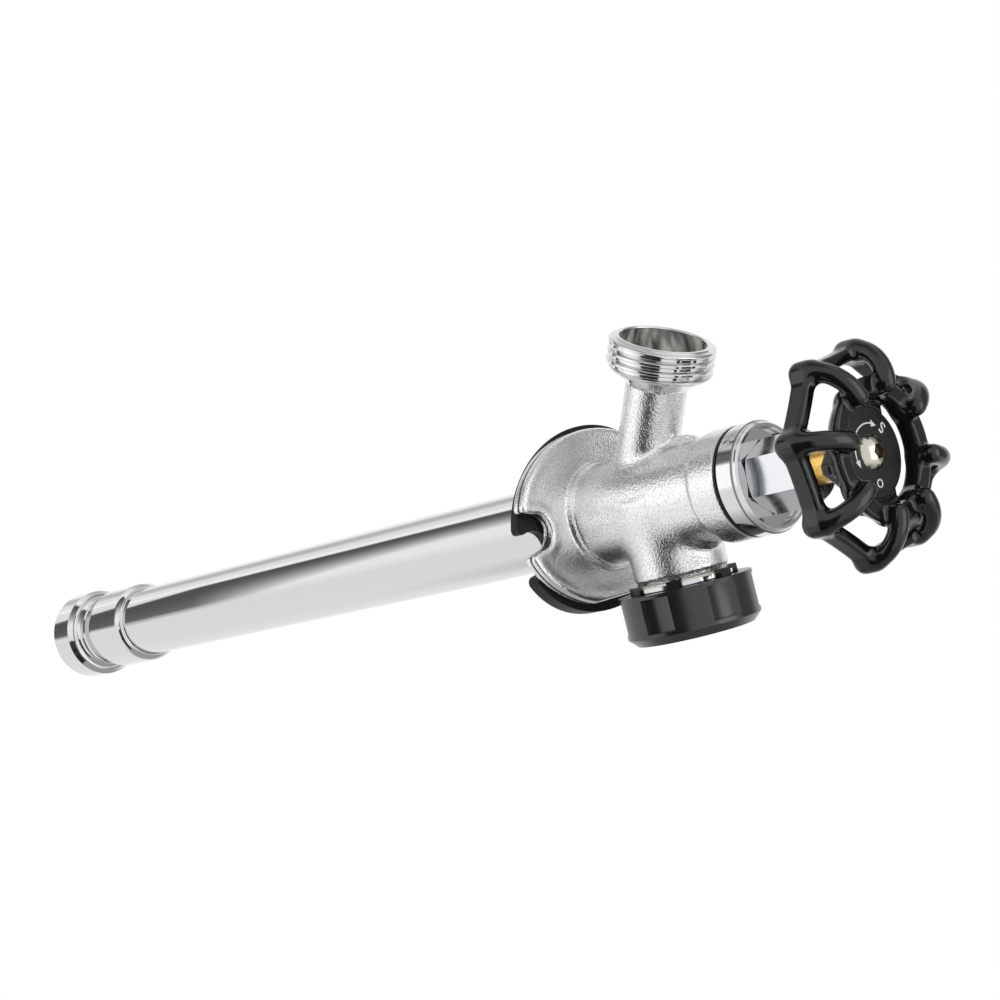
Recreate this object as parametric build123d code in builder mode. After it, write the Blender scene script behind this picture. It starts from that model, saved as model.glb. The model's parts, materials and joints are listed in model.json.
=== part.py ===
from build123d import *
import os
from math import cos, radians, sin

# A frost free sillcock for a garden hose. Lengths are in millimetres and angles in degrees.
# The tube runs along +Y into the wall, the handle faces -Y and the vacuum breaker stands up along +Z.
# The origin is where the tube's axis passes through the face of the wall.

os.makedirs("parts", exist_ok=True)

# Clearances that more than one piece shares
solder_gap = 0.05
running_gap = 0.08
seat_gap = 0.05
thread_gap = 0.06
overrun = 2.0

# Supply tube
tube_od = 22.2
tube_wall = 1.2
tube_run = 209.2
tube_in_body = 14.0
tube_in_fitting = 9.0
tube_radius = tube_od / 2
tube_bore_radius = tube_radius - tube_wall

# The body's flange, an oval
flange_width = 60.0
flange_height = 45.6

# Wall wedge, thin at the bottom and thick at the top so that the tube drains outwards
wedge_inset = 1.0
wedge_lip = 1.0
wedge_width = flange_width - 2 * wedge_inset
wedge_height = flange_height + 2 * wedge_lip
wedge_thin = 1.0
wedge_thick = 5.0
wedge_turn = 11.5
wedge_corner = 1.5
wedge_bore_gap = 0.4
wedge_middle = (wedge_thin + wedge_thick) / 2

# Thickness of the flange and the boss on its face
flange_thick = 4.2
flange_corner = 1.2
boss_radius = 13.9
boss_rise = 1.1
flange_back = -wedge_middle
flange_front = flange_back - flange_thick
boss_front = flange_front - boss_rise

# Screw slots at the two ends of the flange and of the wedge
slot_radius = 4.6
slot_centre = 25.0
slot_flare = 6.4
wedge_slot_radius = 5.6
wedge_slot_centre = 24.6

# Barrel of the body casting
barrel_radius = 12.9
barrel_bore_radius = 9.4
collar_radius = 13.8
collar_length = 8.8
collar_ramp = 0.9
body_length = 53.4
body_front = flange_back - body_length
tube_stop = flange_back - tube_in_body
collar_back = body_front + collar_length

# Hose nozzle, which leans forward and points down
nozzle_lean = 28.7
nozzle_length = 44.5
nozzle_root = 15.7
neck_radius = 7.75
nozzle_passage_radius = 5.2
hose_thread_major = 26.99
hose_thread_pitch = 2.209
hose_thread_depth = 1.1
hose_thread_length = 9.4
hose_thread_rings = 3
mouth_radius = 10.9
mouth_depth = 9.0
mouth_lip = 1.7
nozzle_flare = 1.8
nozzle_y = flange_back - nozzle_root
thread_radius = hose_thread_major / 2
thread_core_radius = thread_radius - hose_thread_depth
thread_start = nozzle_length - hose_thread_length

# Web in the corner between the nozzle's neck and the barrel
web_thick = 1.8
web_reach = 3.4
web_rise = 2.6

# Branch for the vacuum breaker
branch_offset = 24.45
branch_radius = 12.0
branch_neck_radius = 11.5
branch_bore_radius = 9.2
branch_top = 19.6
branch_lip = 1.3
branch_y = flange_back - branch_offset

# Cast fillets of the body
branch_fillet = 2.4
neck_fillet = 2.0

# Bonnet, with its flange, its neck and the chamber for the stem's thread
bonnet_gasket_thick = 0.8
bonnet_gasket_radius = 13.2
bonnet_flange_radius = 13.8
bonnet_band_length = 4.4
bonnet_step_radius = 13.3
bonnet_step_length = 1.5
bonnet_edge = 0.5
recess_radius = 12.1
recess_depth = 1.7
bonnet_spigot_radius = 11.0
bonnet_spigot_length = 10.3
chamber_radius = 6.48
chamber_roof = 3.4
bonnet_neck_radius = 7.0
bonnet_neck_length = 8.6
bonnet_back = body_front - bonnet_gasket_thick
bonnet_step = bonnet_back - bonnet_band_length
bonnet_face = bonnet_step - bonnet_step_length
recess_floor = bonnet_face + recess_depth
bonnet_inner_end = bonnet_back + bonnet_spigot_length
neck_end = recess_floor - bonnet_neck_length
chamber_end = bonnet_back - chamber_roof

# Packing nut and what it squeezes on the stem
nut_flats = 16.0
nut_turn = 25.0
nut_edge = 0.7
nut_end_wall = 2.2
packing_washer_thick = 1.0
packing_thick = 2.2
nut_back = recess_floor - seat_gap
packing_washer_front = neck_end - packing_washer_thick
packing_front = packing_washer_front - packing_thick
nut_front = packing_front - nut_end_wall

# Stem that the handle turns
stem_radius = 4.7
stem_thread_radius = 6.4
stem_thread_length = 8.0
stem_thread_inset = 6.8
stem_square = 6.5
stem_square_length = 6.8
stem_show = 9.0
stem_socket_radius = 5.7
stem_socket_length = 10.0
stem_screw_bore = 2.46
stem_screw_depth = 12.0
stem_thread_back = bonnet_inner_end - stem_thread_inset + stem_thread_length
stem_thread_front = stem_thread_back - stem_thread_length
stem_shoulder = nut_front - stem_show
stem_tip = stem_shoulder - stem_square_length
stem_socket_end = stem_thread_back + stem_socket_length

# O-ring on the stem, in the bonnet's neck
o_ring_wire = 1.6
o_ring_depth = 2.0
o_ring_y = chamber_end - o_ring_depth
o_ring_groove = 1.25 * o_ring_wire

# Rod from the stem to the washer holder
rod_radius = 3.97
rod_end_gap = 0.4
stem_pin_radius = 1.2
rod_front = stem_thread_back + rod_end_gap
stem_pin_y = (stem_thread_back + stem_socket_end) / 2

# Guide that keeps the rod in the middle of the tube
guide_station = 96.0
guide_length = 9.0
guide_hub_radius = 6.0
guide_gap = 0.3
guide_fins = 4
guide_fin_thick = 2.2
guide_radius = tube_bore_radius - guide_gap

# Inlet fitting at the far end of the tube
fitting_shoulder = 2.6
fitting_collar_radius = 13.0
fitting_collar_length = 15.2
groove_round = 2.2
fitting_groove_length = 11.0
fitting_waist_radius = 10.9
fitting_rib_radius = 11.7
fitting_rib_width = 1.3
fitting_disc_radius = 14.4
fitting_disc_length = 11.2
fitting_disc_edge = 0.9
inlet_radius = 8.0
inlet_depth = 12.0
passage_radius = 4.9
seat_chamber_radius = 9.6
seat_lip_radius = 6.3
seat_lip_rise = 1.2
seat_station = 12.6
fitting_front = tube_run
collar_start = fitting_front + fitting_shoulder
groove_start = collar_start + fitting_collar_length
disc_start = groove_start + fitting_groove_length
fitting_end = disc_start + fitting_disc_length
rib_y = (groove_start + disc_start) / 2
tube_end = fitting_front + tube_in_fitting
seat_face = fitting_front + seat_station

# Seat washer and its holder, which swivels on the rod's end
washer_radius = 7.3
washer_thick = 3.4
holder_radius = 8.3
holder_rim = 2.0
holder_base = 4.0
holder_sleeve_radius = 6.4
holder_sleeve_length = 10.0
clip_width = 0.9
clip_bite = 0.6
clip_station = 5.0
clip_opening = 40.0
washer_screw_radius = 1.5
washer_screw_head_radius = 3.0
washer_screw_head_height = 1.5
washer_screw_slot = 0.7
washer_screw_depth = 2.6
washer_front = seat_face - seat_gap - washer_thick
holder_floor = washer_front - holder_base
holder_mouth = holder_floor - holder_sleeve_length
rod_end = holder_floor - rod_end_gap
clip_y = holder_floor - clip_station

# Vacuum breaker inside the branch
insert_radius = 9.1
insert_flange_radius = 12.5
insert_flange_thick = 1.0
insert_bore_radius = 7.5
insert_web_top = 17.8
insert_web_thick = 2.0
insert_gasket_thick = 0.5
insert_guide_radius = 2.1
air_well_radius = 7.8
vent_radius = 1.2
vent_circle = 4.5
vent_count = 6
insert_o_ring_wire = 1.0
insert_o_ring_z = 12.4
poppet_seat_thick = 1.4
poppet_seat_bore = 4.4
poppet_radius = 6.6
poppet_thick = 2.0
poppet_stem_radius = 2.0
poppet_stem_rise = 0.8
poppet_seal_radius = 6.2
poppet_seal_thick = 1.2
poppet_travel = 2.5
insert_seat = branch_top + insert_gasket_thick
insert_top = insert_seat + insert_flange_thick
web_bottom = insert_web_top - insert_web_thick
seal_top = web_bottom - poppet_travel - seat_gap
seal_bottom = seal_top - poppet_seal_thick
poppet_bottom = seal_bottom - poppet_thick
poppet_seat_top = poppet_bottom - seat_gap
poppet_seat_bottom = poppet_seat_top - poppet_seat_thick

# Vacuum breaker cap, snapped over the insert's flange
cap_radius = 17.1
cap_height = 12.7
cap_wall = 2.4
cap_roof = 2.2
cap_gap = 0.2
cap_edge = 2.1
cap_rim = 1.0
cap_panels = 6
cap_panel_angle = 26.5
cap_panel_depth = 0.9
cap_panel_turn = -12.0
tab_width = 3.8
tab_thick = 1.3
tab_hook = 0.75
tab_hook_height = 0.7
tab_gap = 0.1
tab_turn = 29.0
cap_bottom = insert_top + cap_gap
cap_top = cap_bottom + cap_height

# Handwheel
wheel_lobes = 8
wheel_turn = -14.0
rim_tip_radius = 26.4
rim_dip_radius = 23.9
rim_tip_round = 2.4
rim_thick = 3.3
rim_length = 5.2
rim_edge = 1.0
rim_from_hub = 1.8
rib_radius = 2.3
rib_bend = 9.6
rib_rim_cover = 1.2
front_ring_inner = 12.9
front_ring_outer = 17.2
front_ring_back_radius = 15.2
front_ring_length = 4.7
front_ring_slope = 3.0
front_ring_round = 1.1
ring_below_ribs = 4.1
wheel_depth = 14.0
hub_rear_radius = 6.6
hub_front_radius = 8.0
hub_disc_radius = 11.4
hub_disc_thick = 2.2
hub_square_gap = 0.05
hub_over_tip = 0.4
spoke_count = 2
spoke_turn = 84.0
spoke_width = 13.0
spoke_thick = 2.8
spoke_step = 1.0
hub_rear = stem_shoulder - seat_gap
hub_front = stem_tip - hub_over_tip
rim_back = hub_rear - rim_from_hub
rim_front = rim_back - rim_length
wheel_front = rim_back - wheel_depth
rib_front = wheel_front + rib_radius
ring_front = wheel_front + ring_below_ribs
ring_back = ring_front + front_ring_length
rib_root = rim_tip_radius - rim_thick / 2
spoke_back = hub_front + spoke_thick - spoke_step
spoke_reach = (front_ring_inner + front_ring_back_radius) / 2
ring_middle = (front_ring_inner + front_ring_outer) / 2

# Index plate and handle screw
plate_radius = 10.6
plate_thick = 0.8
screw_head_radius = 4.4
screw_head_height = 2.3
screw_radius = 2.4
screw_length = 11.0
screw_drive_radius = 2.0
screw_drive_depth = 1.3
screw_drive_sides = 6
plate_front = hub_front - plate_thick


def station(y):
    # A plane square to the tube at y, from which a positive extrusion runs towards the handle
    return Plane.XZ.offset(-y)


nozzle_out = Vector(0, -sin(radians(nozzle_lean)), -cos(radians(nozzle_lean)))
nozzle_start = Vector(0, nozzle_y, 0)
nozzle_axis = Axis(nozzle_start, nozzle_out)
nozzle_profile_plane = Plane(origin=nozzle_start, x_dir=(1, 0, 0), z_dir=Vector(1, 0, 0).cross(nozzle_out))
branch_axis = Axis((0, branch_y, 0), (0, 0, 1))
branch_profile_plane = Plane(origin=(0, branch_y, 0), x_dir=(1, 0, 0), z_dir=(0, -1, 0))

# Body casting: flange, barrel, hose nozzle and breaker branch in one piece
with BuildPart() as body_casting:
    with BuildSketch(station(flange_front)):
        Circle(barrel_radius)
    extrude(amount=flange_front - body_front)
    with BuildSketch(Plane.XY):
        with Locations((0, branch_y)):
            Circle(branch_radius)
    extrude(amount=branch_top - branch_lip)
    fillet(body_casting.edges().filter_by(GeomType.BSPLINE), radius=branch_fillet)
    with BuildSketch(Plane(origin=nozzle_start, x_dir=(1, 0, 0), z_dir=nozzle_out)):
        Circle(neck_radius)
    extrude(amount=thread_start)
    fillet(body_casting.edges().filter_by(GeomType.BSPLINE).sort_by(Axis.Z)[0], radius=neck_fillet)
    with BuildSketch(Plane.YZ):
        with BuildLine():
            Polyline(
                (nozzle_y - neck_radius, 0),
                (nozzle_y - neck_radius - barrel_radius - web_reach, 0),
                (nozzle_y - neck_radius - barrel_radius - web_reach, -barrel_radius),
                (nozzle_y - neck_radius - barrel_radius, -barrel_radius - web_rise),
                (nozzle_y - neck_radius, -barrel_radius - web_rise),
                close=True,
            )
        make_face()
    extrude(amount=web_thick / 2, both=True)
    with BuildSketch(Plane.XY):
        with BuildLine():
            Polyline(
                (0, collar_back + collar_ramp),
                (barrel_radius, collar_back + collar_ramp),
                (collar_radius, collar_back),
                (collar_radius, body_front),
                (0, body_front),
                close=True,
            )
        make_face()
    revolve(axis=Axis.Y)
    with BuildSketch(branch_profile_plane):
        with Locations((0, branch_top - branch_lip)):
            Rectangle(branch_neck_radius, branch_lip, align=(Align.MIN, Align.MIN))
    revolve(axis=branch_axis)

    # Oval flange with its boss
    with BuildSketch(station(flange_back)) as flange_outline:
        Ellipse(flange_width / 2, flange_height / 2)
        with PolarLocations(0, 2):
            with Locations((slot_centre, 0)):
                Circle(slot_radius, mode=Mode.SUBTRACT)
            Polygon(
                (slot_centre, -slot_radius),
                (flange_width / 2 + overrun, -slot_flare),
                (flange_width / 2 + overrun, slot_flare),
                (slot_centre, slot_radius),
                align=None,
                mode=Mode.SUBTRACT,
            )
        fillet(flange_outline.vertices().sort_by_distance((0, 0))[-4:], radius=flange_corner)
    extrude(amount=flange_thick)
    with BuildSketch(station(flange_front)):
        Circle(boss_radius)
    extrude(amount=boss_rise, taper=15)

    # Threaded end of the nozzle, drawn as rings at the thread's pitch
    crest_radii = [thread_core_radius, thread_radius, thread_radius, thread_core_radius]
    crest_shares = [0.1, 0.42, 0.58, 0.9]
    crests = [
        (crest_radii[i], thread_start + (ring + crest_shares[i]) * hose_thread_pitch)
        for ring in range(hose_thread_rings)
        for i in range(len(crest_radii))
    ]
    thread_end = thread_start + hose_thread_rings * hose_thread_pitch
    with BuildSketch(nozzle_profile_plane):
        with BuildLine():
            Polyline(
                (0, thread_start - nozzle_flare),
                (neck_radius, thread_start - nozzle_flare),
                (thread_core_radius, thread_start),
                *crests,
                (thread_core_radius, thread_end),
                (thread_radius, nozzle_length - mouth_lip - hose_thread_depth / 2),
                (thread_radius, nozzle_length - mouth_lip),
                (thread_radius - mouth_lip, nozzle_length),
                (0, nozzle_length),
                close=True,
            )
        make_face()
    revolve(axis=nozzle_axis)

    # Waterways
    with BuildSketch(station(flange_back + overrun)):
        Circle(tube_radius + solder_gap)
    extrude(amount=tube_in_body + overrun, mode=Mode.SUBTRACT)
    with BuildSketch(station(tube_stop)):
        Circle(barrel_bore_radius)
    extrude(amount=tube_stop - body_front, mode=Mode.SUBTRACT)
    with BuildSketch(station(bonnet_inner_end)):
        Circle(bonnet_spigot_radius + thread_gap)
    extrude(amount=bonnet_inner_end - body_front + overrun, mode=Mode.SUBTRACT)
    with BuildSketch(nozzle_profile_plane):
        with BuildLine():
            Polyline(
                (0, 0),
                (nozzle_passage_radius, 0),
                (nozzle_passage_radius, nozzle_length - mouth_depth - nozzle_flare),
                (mouth_radius, nozzle_length - mouth_depth),
                (mouth_radius, nozzle_length + overrun),
                (0, nozzle_length + overrun),
                close=True,
            )
        make_face()
    revolve(axis=nozzle_axis, mode=Mode.SUBTRACT)
    with BuildSketch(Plane.XY):
        with Locations((0, branch_y)):
            Circle(branch_bore_radius)
    extrude(amount=branch_top + overrun, mode=Mode.SUBTRACT)
body_casting.part.label = "body_casting"
export_step(body_casting.part, "parts/body_casting.step")

# Supply tube, soldered into the body and into the inlet fitting
with BuildPart() as supply_tube:
    with BuildSketch(station(tube_end - seat_gap)):
        Circle(tube_radius)
        Circle(tube_bore_radius, mode=Mode.SUBTRACT)
    extrude(amount=tube_end - tube_stop - 2 * seat_gap)
supply_tube.part.label = "supply_tube"
export_step(supply_tube.part, "parts/supply_tube.step")

# Inlet fitting: tube socket, valve seat, waist and end disc with the socket for the house pipe
socket_radius = tube_radius + solder_gap
with BuildPart() as inlet_fitting:
    with BuildSketch(Plane.XY):
        with BuildLine():
            RadiusArc(
                (socket_radius, fitting_front),
                (fitting_collar_radius, collar_start),
                -fitting_shoulder,
            )
            Polyline(
                (fitting_collar_radius, collar_start),
                (fitting_collar_radius, groove_start),
                (fitting_waist_radius, groove_start + fitting_rib_width),
                (fitting_waist_radius, rib_y),
                (fitting_rib_radius, rib_y),
                (fitting_rib_radius, rib_y + fitting_rib_width),
                (fitting_waist_radius, rib_y + fitting_rib_width),
                (fitting_waist_radius, disc_start - groove_round),
            )
            RadiusArc(
                (fitting_waist_radius, disc_start - groove_round),
                (fitting_waist_radius + groove_round, disc_start),
                groove_round,
            )
            Polyline(
                (fitting_waist_radius + groove_round, disc_start),
                (fitting_disc_radius - fitting_disc_edge, disc_start + fitting_disc_edge / 2),
                (fitting_disc_radius, disc_start + 1.5 * fitting_disc_edge),
                (fitting_disc_radius, fitting_end - fitting_disc_edge),
                (fitting_disc_radius - fitting_disc_edge, fitting_end),
                (inlet_radius, fitting_end),
                (inlet_radius, fitting_end - inlet_depth),
                (passage_radius, fitting_end - inlet_depth),
                (passage_radius, seat_face),
                (seat_lip_radius, seat_face),
                (seat_lip_radius, seat_face + seat_lip_rise),
                (seat_chamber_radius, seat_face + seat_lip_rise),
                (seat_chamber_radius, tube_end),
                (socket_radius, tube_end),
                (socket_radius, fitting_front),
            )
        make_face()
    revolve(axis=Axis.Y)
inlet_fitting.part.label = "inlet_fitting"
export_step(inlet_fitting.part, "parts/inlet_fitting.step")

# Wall wedge, loose on the tube and turned a little, cut to its taper by the plane of the wall
wedge_plane = Plane(
    origin=(0, flange_back + wedge_thick + overrun, 0),
    x_dir=(cos(radians(wedge_turn)), 0, sin(radians(wedge_turn))),
    z_dir=(0, -1, 0),
)
wedge_side_plane = Plane(
    origin=(0, 0, 0),
    x_dir=(0, 1, 0),
    z_dir=(cos(radians(wedge_turn)), 0, sin(radians(wedge_turn))),
)
wedge_rise = (wedge_thick - wedge_thin) / 2
with BuildPart() as wall_wedge:
    with BuildSketch(wedge_plane) as wedge_outline:
        Ellipse(wedge_width / 2, wedge_height / 2)
        Circle(tube_radius + wedge_bore_gap, mode=Mode.SUBTRACT)
        with PolarLocations(0, 2):
            with Locations((wedge_slot_centre, 0)):
                Circle(wedge_slot_radius, mode=Mode.SUBTRACT)
                Rectangle(
                    wedge_width / 2 - wedge_slot_centre + overrun,
                    2 * wedge_slot_radius,
                    align=(Align.MIN, Align.CENTER),
                    mode=Mode.SUBTRACT,
                )
        fillet(wedge_outline.vertices().sort_by_distance((0, 0))[-4:], radius=wedge_corner)
    extrude(amount=wedge_thick + overrun - seat_gap)
    with BuildSketch(wedge_side_plane):
        with BuildLine():
            Polyline(
                (-2 * wedge_rise, -wedge_height),
                (2 * wedge_rise, wedge_height),
                (wedge_width, wedge_height),
                (wedge_width, -wedge_height),
                close=True,
            )
        make_face()
    extrude(amount=wedge_width, both=True, mode=Mode.SUBTRACT)
wall_wedge.part.label = "wall_wedge"
export_step(wall_wedge.part, "parts/wall_wedge.step")

# Gasket between the bonnet's flange and the body
with BuildPart() as bonnet_gasket:
    with BuildSketch(station(body_front)):
        Circle(bonnet_gasket_radius)
        Circle(bonnet_spigot_radius + thread_gap, mode=Mode.SUBTRACT)
    extrude(amount=bonnet_gasket_thick)
bonnet_gasket.part.label = "bonnet_gasket"
export_step(bonnet_gasket.part, "parts/bonnet_gasket.step")

# Bonnet: spigot in the body, polished flange with a recess, and the neck for the packing nut
with BuildPart() as bonnet:
    with BuildSketch(Plane.XY):
        with BuildLine():
            Polyline(
                (chamber_radius, bonnet_inner_end),
                (bonnet_spigot_radius, bonnet_inner_end),
                (bonnet_spigot_radius, bonnet_back),
                (bonnet_flange_radius, bonnet_back),
                (bonnet_flange_radius, bonnet_step),
                (bonnet_step_radius, bonnet_step - bonnet_edge),
                (bonnet_step_radius, bonnet_face + bonnet_edge),
                (bonnet_step_radius - bonnet_edge, bonnet_face),
                (recess_radius, bonnet_face),
                (recess_radius, recess_floor),
                (bonnet_neck_radius, recess_floor),
                (bonnet_neck_radius, neck_end),
                (stem_radius + running_gap, neck_end),
                (stem_radius + running_gap, chamber_end),
                (chamber_radius, chamber_end),
                close=True,
            )
        make_face()
    revolve(axis=Axis.Y)
bonnet.part.label = "bonnet"
export_step(bonnet.part, "parts/bonnet.step")

# Packing nut: a hexagon with its corners taken off, screwed over the bonnet's neck
nut_corner_radius = nut_flats / 2 / cos(radians(30))
with BuildPart() as packing_nut:
    with BuildSketch(station(nut_back)):
        RegularPolygon(nut_flats / 2, 6, major_radius=False, rotation=nut_turn)
    extrude(amount=nut_back - nut_front)
    with BuildSketch(Plane.XY):
        with BuildLine():
            Polyline(
                (0, nut_back),
                (nut_flats / 2, nut_back),
                (nut_corner_radius, nut_back - nut_edge),
                (nut_corner_radius, nut_front + nut_edge),
                (nut_flats / 2, nut_front),
                (0, nut_front),
                close=True,
            )
        make_face()
    revolve(axis=Axis.Y, mode=Mode.INTERSECT)
    with BuildSketch(station(nut_back + overrun)):
        Circle(bonnet_neck_radius + thread_gap)
    extrude(amount=nut_back - packing_front + overrun, mode=Mode.SUBTRACT)
    with BuildSketch(station(packing_front)):
        Circle(stem_radius + running_gap)
    extrude(amount=nut_end_wall + overrun, mode=Mode.SUBTRACT)
packing_nut.part.label = "packing_nut"
export_step(packing_nut.part, "parts/packing_nut.step")

# Washer between the bonnet's neck and the packing
with BuildPart() as packing_washer:
    with BuildSketch(station(neck_end)):
        Circle(bonnet_neck_radius)
        Circle(stem_radius + running_gap, mode=Mode.SUBTRACT)
    extrude(amount=packing_washer_thick)
packing_washer.part.label = "packing_washer"
export_step(packing_washer.part, "parts/packing_washer.step")

# Packing ring round the stem
with BuildPart() as stem_packing:
    with BuildSketch(station(packing_washer_front)):
        Circle(bonnet_neck_radius)
        Circle(stem_radius + running_gap, mode=Mode.SUBTRACT)
    extrude(amount=packing_thick)
stem_packing.part.label = "stem_packing"
export_step(stem_packing.part, "parts/stem_packing.step")

# Stem: square for the handle, shank, lifting thread and the socket for the rod
with BuildPart() as stem_screw:
    with BuildSketch(Plane.XY):
        with BuildLine():
            Polyline(
                (0, stem_socket_end),
                (stem_socket_radius, stem_socket_end),
                (stem_socket_radius, stem_thread_back),
                (stem_thread_radius, stem_thread_back),
                (stem_thread_radius, stem_thread_front),
                (stem_radius, stem_thread_front),
                (stem_radius, o_ring_y + o_ring_groove / 2),
                (stem_radius - o_ring_wire, o_ring_y + o_ring_groove / 2),
                (stem_radius - o_ring_wire, o_ring_y - o_ring_groove / 2),
                (stem_radius, o_ring_y - o_ring_groove / 2),
                (stem_radius, stem_shoulder),
                (0, stem_shoulder),
                close=True,
            )
        make_face()
    revolve(axis=Axis.Y)
    with BuildSketch(station(stem_shoulder)):
        Rectangle(stem_square, stem_square)
    extrude(amount=stem_square_length)
    with BuildSketch(station(stem_socket_end + overrun)):
        Circle(rod_radius + solder_gap)
    extrude(amount=stem_socket_length + overrun, mode=Mode.SUBTRACT)
    with BuildSketch(Plane.XY):
        with Locations((0, stem_pin_y)):
            Circle(stem_pin_radius + solder_gap)
    extrude(amount=stem_thread_radius, both=True, mode=Mode.SUBTRACT)
    with BuildSketch(station(stem_tip + stem_screw_depth)):
        Circle(stem_screw_bore)
    extrude(amount=stem_screw_depth + overrun, mode=Mode.SUBTRACT)
stem_screw.part.label = "stem_screw"
export_step(stem_screw.part, "parts/stem_screw.step")

# O-ring in the stem's groove
with BuildPart() as stem_o_ring:
    with BuildSketch(Plane.XY):
        with Locations((stem_radius - o_ring_wire / 2, o_ring_y)):
            Circle(o_ring_wire / 2 - running_gap / 4)
    revolve(axis=Axis.Y)
stem_o_ring.part.label = "stem_o_ring"
export_step(stem_o_ring.part, "parts/stem_o_ring.step")

# Rod down the tube, with a pin hole at the stem and a clip groove at the washer holder
with BuildPart() as stem_rod:
    with BuildSketch(station(rod_end)):
        Circle(rod_radius)
    extrude(amount=rod_end - rod_front)
    with BuildSketch(Plane.XY):
        with Locations((0, stem_pin_y)):
            Circle(stem_pin_radius + solder_gap)
    extrude(amount=rod_radius + overrun, both=True, mode=Mode.SUBTRACT)
    with BuildSketch(station(clip_y + clip_width / 2 + running_gap)):
        Circle(rod_radius + overrun)
        Circle(rod_radius - clip_bite - running_gap, mode=Mode.SUBTRACT)
    extrude(amount=clip_width + 2 * running_gap, mode=Mode.SUBTRACT)
stem_rod.part.label = "stem_rod"
export_step(stem_rod.part, "parts/stem_rod.step")

# Pin through the stem's socket and the rod
with BuildPart() as stem_pin:
    with BuildSketch(Plane.XY):
        with Locations((0, stem_pin_y)):
            Circle(stem_pin_radius)
    extrude(amount=stem_socket_radius, both=True)
stem_pin.part.label = "stem_pin"
export_step(stem_pin.part, "parts/stem_pin.step")

# Finned guide on the rod
with BuildPart() as stem_guide:
    with BuildSketch(station(guide_station + guide_length)):
        Circle(guide_hub_radius)
        with PolarLocations(0, guide_fins):
            Rectangle(guide_radius, guide_fin_thick, align=(Align.MIN, Align.CENTER))
        Circle(rod_radius + solder_gap, mode=Mode.SUBTRACT)
    extrude(amount=guide_length)
stem_guide.part.label = "stem_guide"
export_step(stem_guide.part, "parts/stem_guide.step")

# Washer holder: a cup for the seat washer and a sleeve that swivels on the rod
with BuildPart() as washer_holder:
    with BuildSketch(Plane.XY):
        with BuildLine():
            Polyline(
                (rod_radius + running_gap, holder_mouth),
                (holder_sleeve_radius, holder_mouth),
                (holder_sleeve_radius, holder_floor),
                (holder_radius, holder_floor),
                (holder_radius, washer_front + holder_rim),
                (washer_radius + seat_gap, washer_front + holder_rim),
                (washer_radius + seat_gap, washer_front - seat_gap),
                (washer_screw_radius + seat_gap, washer_front - seat_gap),
                (washer_screw_radius + seat_gap, holder_floor),
                (rod_radius + running_gap, holder_floor),
                (rod_radius + running_gap, clip_y + clip_width / 2 + seat_gap),
                (rod_radius + clip_bite + seat_gap, clip_y + clip_width / 2 + seat_gap),
                (rod_radius + clip_bite + seat_gap, clip_y - clip_width / 2 - seat_gap),
                (rod_radius + running_gap, clip_y - clip_width / 2 - seat_gap),
                close=True,
            )
        make_face()
    revolve(axis=Axis.Y)
washer_holder.part.label = "washer_holder"
export_step(washer_holder.part, "parts/washer_holder.step")

# Open spring clip between the holder's groove and the rod's groove
with BuildPart() as holder_clip:
    with BuildSketch(Plane.XY):
        with Locations((rod_radius - clip_bite + running_gap / 2, clip_y)):
            Rectangle(2 * clip_bite - running_gap / 2, clip_width, align=(Align.MIN, Align.CENTER))
    revolve(axis=Axis.Y, revolution_arc=360 - clip_opening)
holder_clip.part.label = "holder_clip"
export_step(holder_clip.part, "parts/holder_clip.step")

# Seat washer
with BuildPart() as seat_washer:
    with BuildSketch(station(seat_face - seat_gap)):
        Circle(washer_radius)
        Circle(washer_screw_radius + seat_gap, mode=Mode.SUBTRACT)
    extrude(amount=washer_thick)
seat_washer.part.label = "seat_washer"
export_step(seat_washer.part, "parts/seat_washer.step")

# Slotted screw that holds the seat washer
with BuildPart() as washer_screw:
    with BuildSketch(station(seat_face - seat_gap)):
        Circle(washer_screw_radius)
    extrude(amount=washer_thick + washer_screw_depth)
    with BuildSketch(station(seat_face - seat_gap)):
        Circle(washer_screw_head_radius)
    extrude(amount=-washer_screw_head_height)
    with BuildSketch(station(seat_face - seat_gap + washer_screw_head_height)):
        Rectangle(2 * washer_screw_head_radius + overrun, washer_screw_slot)
    extrude(amount=washer_screw_slot, mode=Mode.SUBTRACT)
washer_screw.part.label = "washer_screw"
export_step(washer_screw.part, "parts/washer_screw.step")

# Gasket under the breaker insert's flange
with BuildPart() as insert_gasket:
    with BuildSketch(Plane.XY.offset(branch_top)):
        with Locations((0, branch_y)):
            Circle(branch_neck_radius)
            Circle(insert_radius + seat_gap, mode=Mode.SUBTRACT)
    extrude(amount=insert_gasket_thick)
insert_gasket.part.label = "insert_gasket"
export_step(insert_gasket.part, "parts/insert_gasket.step")

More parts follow.
